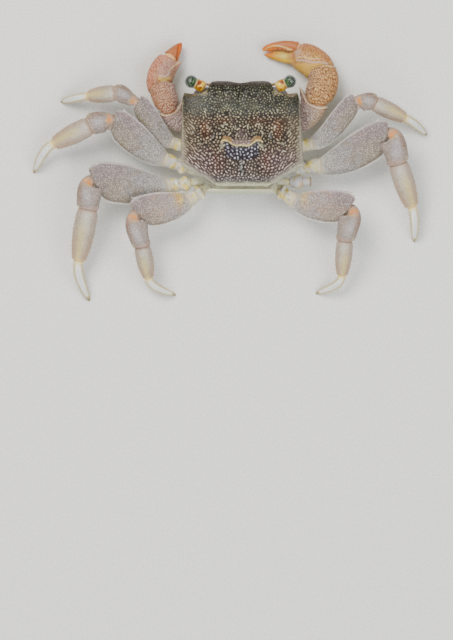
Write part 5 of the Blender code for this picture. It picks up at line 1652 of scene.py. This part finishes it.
def antenna(side, word):
    """Feeler with a jointed base and a ringed whip."""
    start, end = (on_side(point, side) for point in ANTENNA)
    t = rows(120)
    half = profile(t, ANTENNA_HALF_WIDTH)
    form = tube(path_between(start, end, (0.1 * side, -0.3, -1), (0.8 * side, -0.5, 0.3), t), t,
                half, half, side, sides=32)
    s = form.s
    joints = -0.06 * (hill(s, 0.22, 0.012) + hill(s, 0.38, 0.012))
    ringed = 0.022 * np.cos(s * 2 * np.pi * 30) * soft(s, 0.4, 0.46)
    rings = raised(form, joints + ringed)
    paint = painted(
        rings, (180, 160, 122),
        ((110, 78, 50), 0.6 * soft(ringed, 0.0, -0.015)))
    piece(word + "_antenna", rounded_off(rings, 0.4), TIP_FINISH,
          (word + "_antenna",), paint)


def small_feeler(side, word):
    """Small inner feeler, folded under the front edge, with rings along it."""
    s = rows(60)
    half = 0.42 * profile(s, ((0.0, 0.9), (0.3, 1.0), (0.6, 0.8), (1.0, 0.35)))
    fold = tube(path_between((1.1 * side, -9.1, 7.6), (4.0 * side, -10.3, 7.7),
                             (0.2 * side, -1, -0.4), (1.0 * side, 0.2, 0.3), s), s, half,
                half * 0.8, side, sides=32)
    rings = raised(fold, 0.03 * np.cos(fold.s * 2 * np.pi * 12))
    piece(word + "_small_feeler", rounded_off(rings, 0.5), TIP_FINISH, (),
          painted(rings, (168, 150, 128)))


def cheek(side, word):
    """Domed cheek: a net of small granules in rows, grey with purple specks."""
    rings, out = ball(on_side(CHEEK[0], side), CHEEK[1], CHEEK_SQUARE, 110, 150)
    near = cells(rings, 0.34, 5)[0]
    x, y = rings[..., 0] * side, rings[..., 1]
    beads = 0.045 * np.sqrt(np.clip(1 - (near / 0.17) ** 2, 0, 1))
    rings = rings + out * beads[..., None]
    inner = soft(x, 6.6, 5.0) * soft(y, -9.0, -5.5)
    paint = painted(
        rings, (166, 162, 156),
        ((122, 114, 120), 0.75 * soft(near, 0.12, 0.2) * (1 - 0.8 * inner)),
        ((186, 190, 184), 0.6 * inner),
        ((210, 198, 168), 0.5 * soft(y, -4.3, -3.4)))
    piece(word + "_cheek", rings, FACE_FINISH, (), paint)


def mouth_floor():
    """Floor of the mouth with the brown gap in its middle and a ridge on each side."""
    s = rows(60)
    y = MOUTH_FRONT + MOUTH_LENGTH * s
    half = profile(s, ((0.0, 3.2), (0.07, 4.2), (0.93, 4.2), (1.0, 3.6)))
    path = np.stack((0 * y, y, 0 * y + 5.5), 1)
    form = tube(straight(path, (0, 1, 0)), s, half, 0 * s + 0.9, sides=120, square=0.5)
    x, z = form.rings[..., 0], form.rings[..., 2]
    a = np.abs(x)
    low = soft(z, 5.3, 4.9)
    gap_wide = 1.7 - 0.75 * np.abs(form.rings[..., 1] + 6.2) ** 1.1 * 0.42
    gap = low * soft(a, gap_wide + 0.25, gap_wide - 0.1)
    ridge = 0.2 * low * hill(a - 2.75 - 0.2 * form.s, 0, 0.28)
    rings = raised(form, ridge - 0.35 * gap + 0.05 * waves(form.rings, 0.7, 2))
    paint = painted(
        rings, (186, 176, 140),
        ((96, 56, 28), 0.9 * gap),
        ((150, 132, 96), 0.6 * low * soft(a, 3.1, 3.6)))
    piece("mouth_floor", rounded_off(rings, 0.05), FACE_FINISH, (), paint)


def mouth_arch():
    """White arch in front of the mouth: a rod along half an ellipse, thickest at its middle."""
    turn = np.radians(np.linspace(14, 166, 90))
    points = np.stack((2.7 * np.cos(turn), -7.3 - 1.75 * np.sin(turn), 0 * turn + 4.75), 1)
    rates = np.gradient(points, axis=0)
    half = 0.26 + 0.08 * np.sin(turn)
    arch = tube((points, unit(rates)), rows(90), half, half * 1.2, LEFT, sides=36)
    rings = raised(arch, 0.03 * waves(arch.rings, 0.5, 4))
    piece("mouth_arch", rounded_off(rings, 0.6), STERNUM_FINISH, (),
          painted(rings, (226, 226, 214)))


def jaws(side, word):
    """Three small bent jaw plates of one side, brown along their inner edge."""
    s = rows(50)
    for k, (start, end, size, tone) in enumerate(JAWS):
        start, end = on_side(start, side), on_side(end, side)
        half = size * profile(s, JAW_SHAPE)
        way = unit(end - start)
        palp = tube(path_between(start, end, way + (0.4 * side, 0, -0.3), way, s), s, half,
                    half * 0.7, side, sides=40)
        rings = raised(palp, 0.04 * waves(palp.rings, 0.4, k))
        paint = painted(rings, tone, ((120, 70, 34), 0.6 * soft(palp.front, 0.2, 0.9)))
        piece(f"{word}_jaw_{k + 1}", rounded_off(rings, 0.5), TIP_FINISH, (), paint)


def maxilliped(side, word):
    """Outer mouthpart: long white plate with a raised outer border. Gives its rings."""
    start, end = (on_side(point, side) for point in MAXILLIPED)
    t = rows(110, 0.2)
    form = tube(path_between(start, end, (0.2 * side, -1, 0), (0.2 * side, -1, 0), t), t,
                profile(t, MAXILLIPED_HALF_WIDTH), 0 * t + 0.55, side, sides=96, square=0.7)
    s = form.s
    x = (form.rings[..., 0] - form.centre[:, None, 0]) * side
    low = soft(form.top, 0.1, -0.4)
    seam = -0.22 * hill(s, 0.52 + 0.05 * x, 0.012) * low
    groove = -0.16 * hill(x + 0.35 + 0.3 * s, 0, 0.12) * low
    border = 0.1 * soft(x, 0.55, 0.95) * low
    beads = granules(form.rings, 0.3, 0.03, 3) * low
    rings = raised(form, seam + groove + border + beads)
    lines = hill(s, 0.52 + 0.05 * x, 0.018) + hill(x + 0.35 + 0.3 * s, 0, 0.1)
    paint = painted(
        rings, (198, 202, 190),
        ((214, 226, 230), 0.7 * hill(x, 0.1, 0.35) * low),
        ((168, 152, 112), 0.75 * soft(x, 0.35, 0.8) * low),
        ((120, 92, 58), 0.7 * lines * low))
    piece(word + "_maxilliped", rounded_off(rings, 0.3), FACE_FINISH,
          (word + "_maxilliped",), paint)
    return form.rings


def side_arm(side, word, plate):
    """Thin arm beside the mouth frame, and the hairs on the outer edge of the plate's rings."""
    s = rows(80)
    half = 0.42 * profile(s, ((0.0, 0.8), (0.3, 1.0), (0.8, 0.7), (1.0, 0.25)))
    arm = tube(path_between((3.9 * side, -2.9, 4.1), (4.3 * side, -8.1, 4.3),
                            (0.25 * side, -1, 0), (-0.1 * side, -1, 0.1), s), s, half, half * 0.7,
               side, sides=40)
    rings = raised(arm, 0.03 * waves(arm.rings, 0.5, 8))
    paint = painted(rings, (176, 156, 112), ((130, 104, 70), 0.5 * soft(arm.front, 0.2, 1.0)))
    piece(word + "_side_arm", rounded_off(rings, 0.5), FACE_FINISH, (), paint)
    roots = plate[8:-6, 48 + 6 * side]
    ways = np.tile((-0.9 * side, -0.3, -0.25), (len(roots), 1))
    hairs(word + "_mouth_hairs", roots, ways, 0.7, SOFT_HAIR_FINISH, "mouth", 0.02)


# Breast plate and tail

STERNUM_ROWS = (-1.9, -1.3, -0.2, 1.2, 2.1, 3.5, 5.5, 7.5, 9.0, 9.8)
STERNUM_HALF_WIDTH = (3.0, 4.2, 4.9, 6.4, 8.4, 8.9, 9.1, 8.8, 7.8, 6.4)
STERNUM_BOTTOM, STERNUM_TOP = 2.5, 5.1
SOCKET_DEPTH, SOCKET_LENGTH = 2.6, 2.8
SUTURES = (1.0, 2.3, 4.6, 6.6, 8.3)
PLEON_PATH = ((10.62, 9.5), (10.86, 8.4), (10.9, 6.6), (10.86, 4.4), (10.6, 2.7),
              (9.8, 1.85), (8.0, 1.75), (5.6, 1.75), (4.6, 1.75), (3.9, 1.75))
PLEON_HALF_WIDTH = (6.6, 7.0, 6.0, 5.3, 5.3, 5.2, 4.4, 3.9, 3.4, 1.7)
TAIL_SEAMS = (0.09, 0.2, 0.36, 0.52, 0.68, 0.86)
TAIL_SWELLS = (0.145, 0.28, 0.44, 0.6, 0.77)
PLATE_HALF_THICKNESS = 0.35
TELSON_Y, TELSON_Z = (3.58, 0.25), 1.75
TELSON_HALF_WIDTH = ((0.0, 1.6), (0.35, 1.5), (0.7, 1.2), (0.9, 0.8), (1.0, 0.35))


def breast_plate():
    """Porcelain breast plate: sutures curve back from the tail's trough between the segments."""
    count = 150
    s = rows(count, 0.3)
    y = STERNUM_ROWS[0] + (STERNUM_ROWS[-1] - STERNUM_ROWS[0]) * s
    half = np.interp(y, STERNUM_ROWS, STERNUM_HALF_WIDTH)
    middle = (STERNUM_TOP + STERNUM_BOTTOM) / 2
    depth = (STERNUM_TOP - STERNUM_BOTTOM) / 2 * (1 - 0.2 * soft(s, 0.06, 0.0) - 0.2 * soft(s, 0.94, 1.0))
    form = tube(straight(np.stack((0 * y, y, 0 * y + middle), 1), (0, 1, 0)), s, half, depth,
                sides=220, square=0.45)
    a, along = np.abs(form.rings[..., 0]), form.rings[..., 1]
    low = soft(form.top, 0.1, -0.3)
    line = along - 0.16 * (a - 4.0)
    sutures = sum(hill(line, place, 0.09) for place in SUTURES) * low * soft(a, 3.2, 4.4)
    swell = sum(hill(line, (one + two) / 2, 0.32 * (two - one))
                for one, two in zip(SUTURES, SUTURES[1:])) * low * soft(a, 4.0, 5.5)
    arms = hill(along + 1.1 - 0.32 * (3.4 - a) * (a < 3.4), 0.0, 0.16) * low * soft(a, 4.4, 3.0)
    uneven = 0.03 * waves(form.rings, 1.2, 3) * low
    rings = raised(form, -0.2 * sutures + 0.16 * swell - 0.12 * arms + uneven)
    paint = painted(
        rings, (208, 218, 218),
        ((176, 188, 216), 0.6 * low * hill(along, -0.5, 0.8) * soft(a, 4.2, 2.5)),
        ((224, 232, 234), 0.7 * swell),
        ((172, 158, 118), 0.7 * sutures),
        ((124, 106, 88), 0.6 * low * hill(along, -1.6, 0.35) * soft(a, 3.4, 2.0)))
    trough = 1.9 + 0.42 * np.clip(along - 0.4, 0, 9)
    paint = layered(
        paint,
        ((178, 146, 92), 0.75 * low * hill(a, trough, 0.42) * soft(along, -0.9, 0.2)),
        ((196, 176, 130), 0.5 * soft(form.top, 0.0, 0.5)))
    piece("breast_plate", rounded_off(rings, 0.12), STERNUM_FINISH, ("sternum",), paint)


def limb_boss(name, root, way, half):
    """Short socket on the breast plate that a limb's first segment stands in."""
    way = unit(way)
    s = rows(30)
    points = root - way * (SOCKET_DEPTH - SOCKET_LENGTH * s)[:, None]
    girth = half * (0.78 + 0.1 * hill(s, 0.35, 0.2) - 0.1 * soft(s, 0.6, 0.9))
    form = tube(straight(points, way), s, girth, girth, sides=40)
    rings = raised(form, 0.08 * waves(form.rings, 0.8, 2))
    drift = 0.2 * waves(form.rings, 0.7, 6)
    paint = painted(rings, (222, 220, 196), ((216, 200, 134), 0.6 * soft(form.s + drift, 0.55, 0.9)))
    piece(name, rounded_off(rings, 0.2), SKIN_FINISH, (), paint)


def tail():
    """Tail segments, one curved plate from behind the shell to under the breast plate."""
    count = 190
    knots = np.linspace(0, 1, len(PLEON_PATH))
    t = rows(count, 0.15)
    y, z = (profile(t, list(zip(knots, values))) for values in np.array(PLEON_PATH).T)
    half = profile(t, list(zip(knots, PLEON_HALF_WIDTH)))
    path = np.stack((0 * y, y, z), 1)
    headings = unit(np.gradient(path, axis=0))
    form = tube((path, headings), t, half, np.full(count, PLATE_HALF_THICKNESS), LEFT, sides=200,
                square=0.4, across=(1.0, 0.0, 0.0))
    s = form.s
    x = form.rings[..., 0]
    a = np.abs(x)
    seams = sum(hill(s + 0.012 * (a / 4) ** 2 - 0.01 * soft(a, 1.2, 0.0), place, 0.006)
                for place in TAIL_SEAMS)
    bulge = sum(hill(s, place, 0.05) for place in TAIL_SWELLS)
    outside = soft(form.top, 0.0, 0.4) + soft(-form.top, 0.0, 0.4)
    groove = hill(a, half[:, None] * 0.55, 0.28)
    rings = raised(form, (-0.16 * seams + 0.1 * bulge - 0.08 * groove) * outside
                   + 0.03 * waves(form.rings, 0.9, 3))
    drift = waves(form.rings, 1.7, 6)
    paint = painted(
        rings, (188, 194, 188),
        ((178, 194, 204), 0.7 * hill(x, 0.1 * drift, 0.75)),
        ((208, 204, 186), 0.6 * soft(drift, 0.1, 0.8)),
        ((158, 146, 112), 0.65 * seams),
        ((170, 138, 78), 0.7 * soft(a, half[:, None] - 0.3, half[:, None] - 0.05)),
        ((204, 202, 172), 0.85 * soft(s, 0.25, 0.1)))
    piece("tail_plates", rounded_off(rings, 0.1), STERNUM_FINISH, ("pleon",), paint)


def tail_hinge():
    """Roll of soft skin between the back shell's rear edge and the tail."""
    s = rows(60, 0.2)
    x = -5.2 + 10.4 * s
    bend = soft(np.abs(x), 4.4, 5.2)
    path = np.stack((x, 10.08 - 0.2 * bend, 9.12 - 0.1 * bend), 1)
    form = tube(straight(path, (1, 0, 0)), s, 0 * s + 0.3, 0 * s + 0.42, sides=40)
    rings = raised(form, 0.04 * waves(form.rings, 0.7, 5))
    paint = painted(rings, (206, 204, 176),
                    ((176, 168, 132), 0.6 * soft(waves(form.rings, 1.1, 8), 0.0, 0.7)))
    piece("tail_hinge_skin", rounded_off(rings, 0.4), SKIN_FINISH, (), paint)


def tail_end():
    """Rounded end plate of the tail, with short hairs on both of its edges."""
    s = rows(70, 0.2)
    path = np.stack((0 * s, TELSON_Y[0] + (TELSON_Y[1] - TELSON_Y[0]) * s, 0 * s + TELSON_Z), 1)
    form = tube(straight(path, (0, -1, 0)), s, profile(s, TELSON_HALF_WIDTH),
                0 * s + PLATE_HALF_THICKNESS, sides=110, square=0.5)
    rings = raised(form, 0.05 * hill(form.s, 0.45, 0.3) * np.abs(form.top) ** 2
                   + 0.02 * waves(form.rings, 0.7, 2))
    paint = painted(
        rings, (176, 196, 206),
        ((214, 220, 214), 0.6 * soft(waves(form.rings, 0.8, 4), 0.0, 0.8)),
        ((206, 206, 192), 0.6 * soft(np.abs(form.front), 0.9, 1.0)))
    piece("tail_end_plate", rounded_off(rings, 0.3), STERNUM_FINISH, ("telson",), paint)
    edge = np.concatenate((form.rings[6:-4, 0], form.rings[6:-4, 55]))
    ways = np.repeat(((1.0, -0.5, 0.2), (-1.0, -0.5, 0.2)), len(edge) // 2, axis=0)
    hairs("tail_hairs", edge, ways, 0.35, SOFT_HAIR_FINISH, "pleon", 0.015)


def stump():
    """Healed root of the leg that is missing: white knob with an orange-brown scar."""
    start, end = np.array(STUMP[0]), np.array(STUMP[1])
    way = unit(end - start)
    t = rows(70)
    half = profile(t, STUMP_HALF_WIDTH)
    form = tube(path_between(start - way * GAP / 2, end, way, way, t), t, half, half, RIGHT,
                sides=72)
    s = form.s
    rings = raised(form, 0.06 * waves(form.rings, 0.8, 4) - 0.14 * hill(s, 0.62, 0.03)
                   + 0.08 * hill(s, 0.3, 0.12))
    paint = painted(
        rings, (212, 210, 214),
        ((224, 212, 160), 0.6 * soft(waves(form.rings, 1.0, 7), 0.1, 0.7)),
        ((218, 178, 96), 0.7 * hill(s, 0.55, 0.1) * hill(form.turn, 120, 40)),
        ((176, 150, 108), 0.5 * hill(s, 0.62, 0.03)),
        ((156, 124, 90), 0.7 * soft(s, 0.93, 1.0)))
    piece("right_leg_4_stump_knob", rounded_off(rings, 0.15), TIP_FINISH,
          ("right_leg_4_stump",), paint)


for half_side, half_word in SIDES:
    eye(half_side, half_word, *eye_stalk(half_side, half_word))
    antenna(half_side, half_word)
    small_feeler(half_side, half_word)
    cheek(half_side, half_word)
    side_arm(half_side, half_word, maxilliped(half_side, half_word))
mouth_floor()
mouth_arch()
for half_side, half_word in SIDES:
    jaws(half_side, half_word)
breast_plate()
tail()
tail_hinge()
tail_end()
stump()
for limb, sizes in (*LEGS.items(), *CLAWS.items(), ("right_leg_4", None)):
    first, second = (STUMP if sizes is None else sizes.joints)[:2]
    limb_boss(limb + "_socket", np.array(first), np.array(second) - np.array(first),
              1.1 if sizes is None else COXA_HALF_WIDTH.get(limb[-1], 1.5))


# Floor, light and camera

FLOOR_SIZE, FLOOR_LEVEL_M = 3.0, -0.00002
STUDIO_TONE, STUDIO_STRENGTH = (0.93, 0.95, 1.0, 1), 0.45
LAMP_AIM = (0, 0, 0.008)
LAMPS = (  # place, width, power in watts and tone of each soft lamp
    ((0.22, -0.3, 0.55), 0.32, 5.0, (1.0, 0.97, 0.93)),
    ((-0.35, 0.1, 0.5), 0.45, 2.6, (0.94, 0.97, 1.0)),
    ((0.1, 0.45, 0.35), 0.4, 1.6, (1.0, 1.0, 1.0)),
)
CAMERA_PLACE, CAMERA_LENS = (0.00072, 0.02995, 3.206), 900.0


def floor_and_light():
    """Pale floor with soft light from above, brighter from the picture's upper left."""
    bpy.ops.mesh.primitive_plane_add(size=FLOOR_SIZE, location=(0, 0, FLOOR_LEVEL_M))
    floor = bpy.context.object
    floor.name = "floor"
    floor.data.materials.append(plain_finish("floor_paint", (226, 225, 220), 0.7))
    world = bpy.data.worlds.new("studio")
    world.use_nodes = True
    sky = world.node_tree.nodes["Background"]
    sky.inputs["Color"].default_value = STUDIO_TONE
    sky.inputs["Strength"].default_value = STUDIO_STRENGTH
    bpy.context.scene.world = world
    for place, size, energy, tone in LAMPS:
        light = bpy.data.lights.new("softbox", "AREA")
        light.size, light.energy, light.color = size, energy, tone
        lamp = bpy.data.objects.new("softbox", light)
        bpy.context.scene.collection.objects.link(lamp)
        lamp.location = place
        aim = Vector(LAMP_AIM) - Vector(place)
        lamp.rotation_euler = aim.to_track_quat("-Z", "Y").to_euler()


def camera():
    """Straight down, with the picture's right towards -X and its top towards the head."""
    lens = bpy.data.cameras.new("camera")
    lens.lens, lens.sensor_width = CAMERA_LENS, 36.0
    lens.clip_start, lens.clip_end = 0.05, 10.0
    view = bpy.data.objects.new("camera", lens)
    bpy.context.scene.collection.objects.link(view)
    view.location = CAMERA_PLACE
    view.rotation_euler = (0, 0, np.pi)
    bpy.context.scene.camera = view


floor_and_light()
camera()
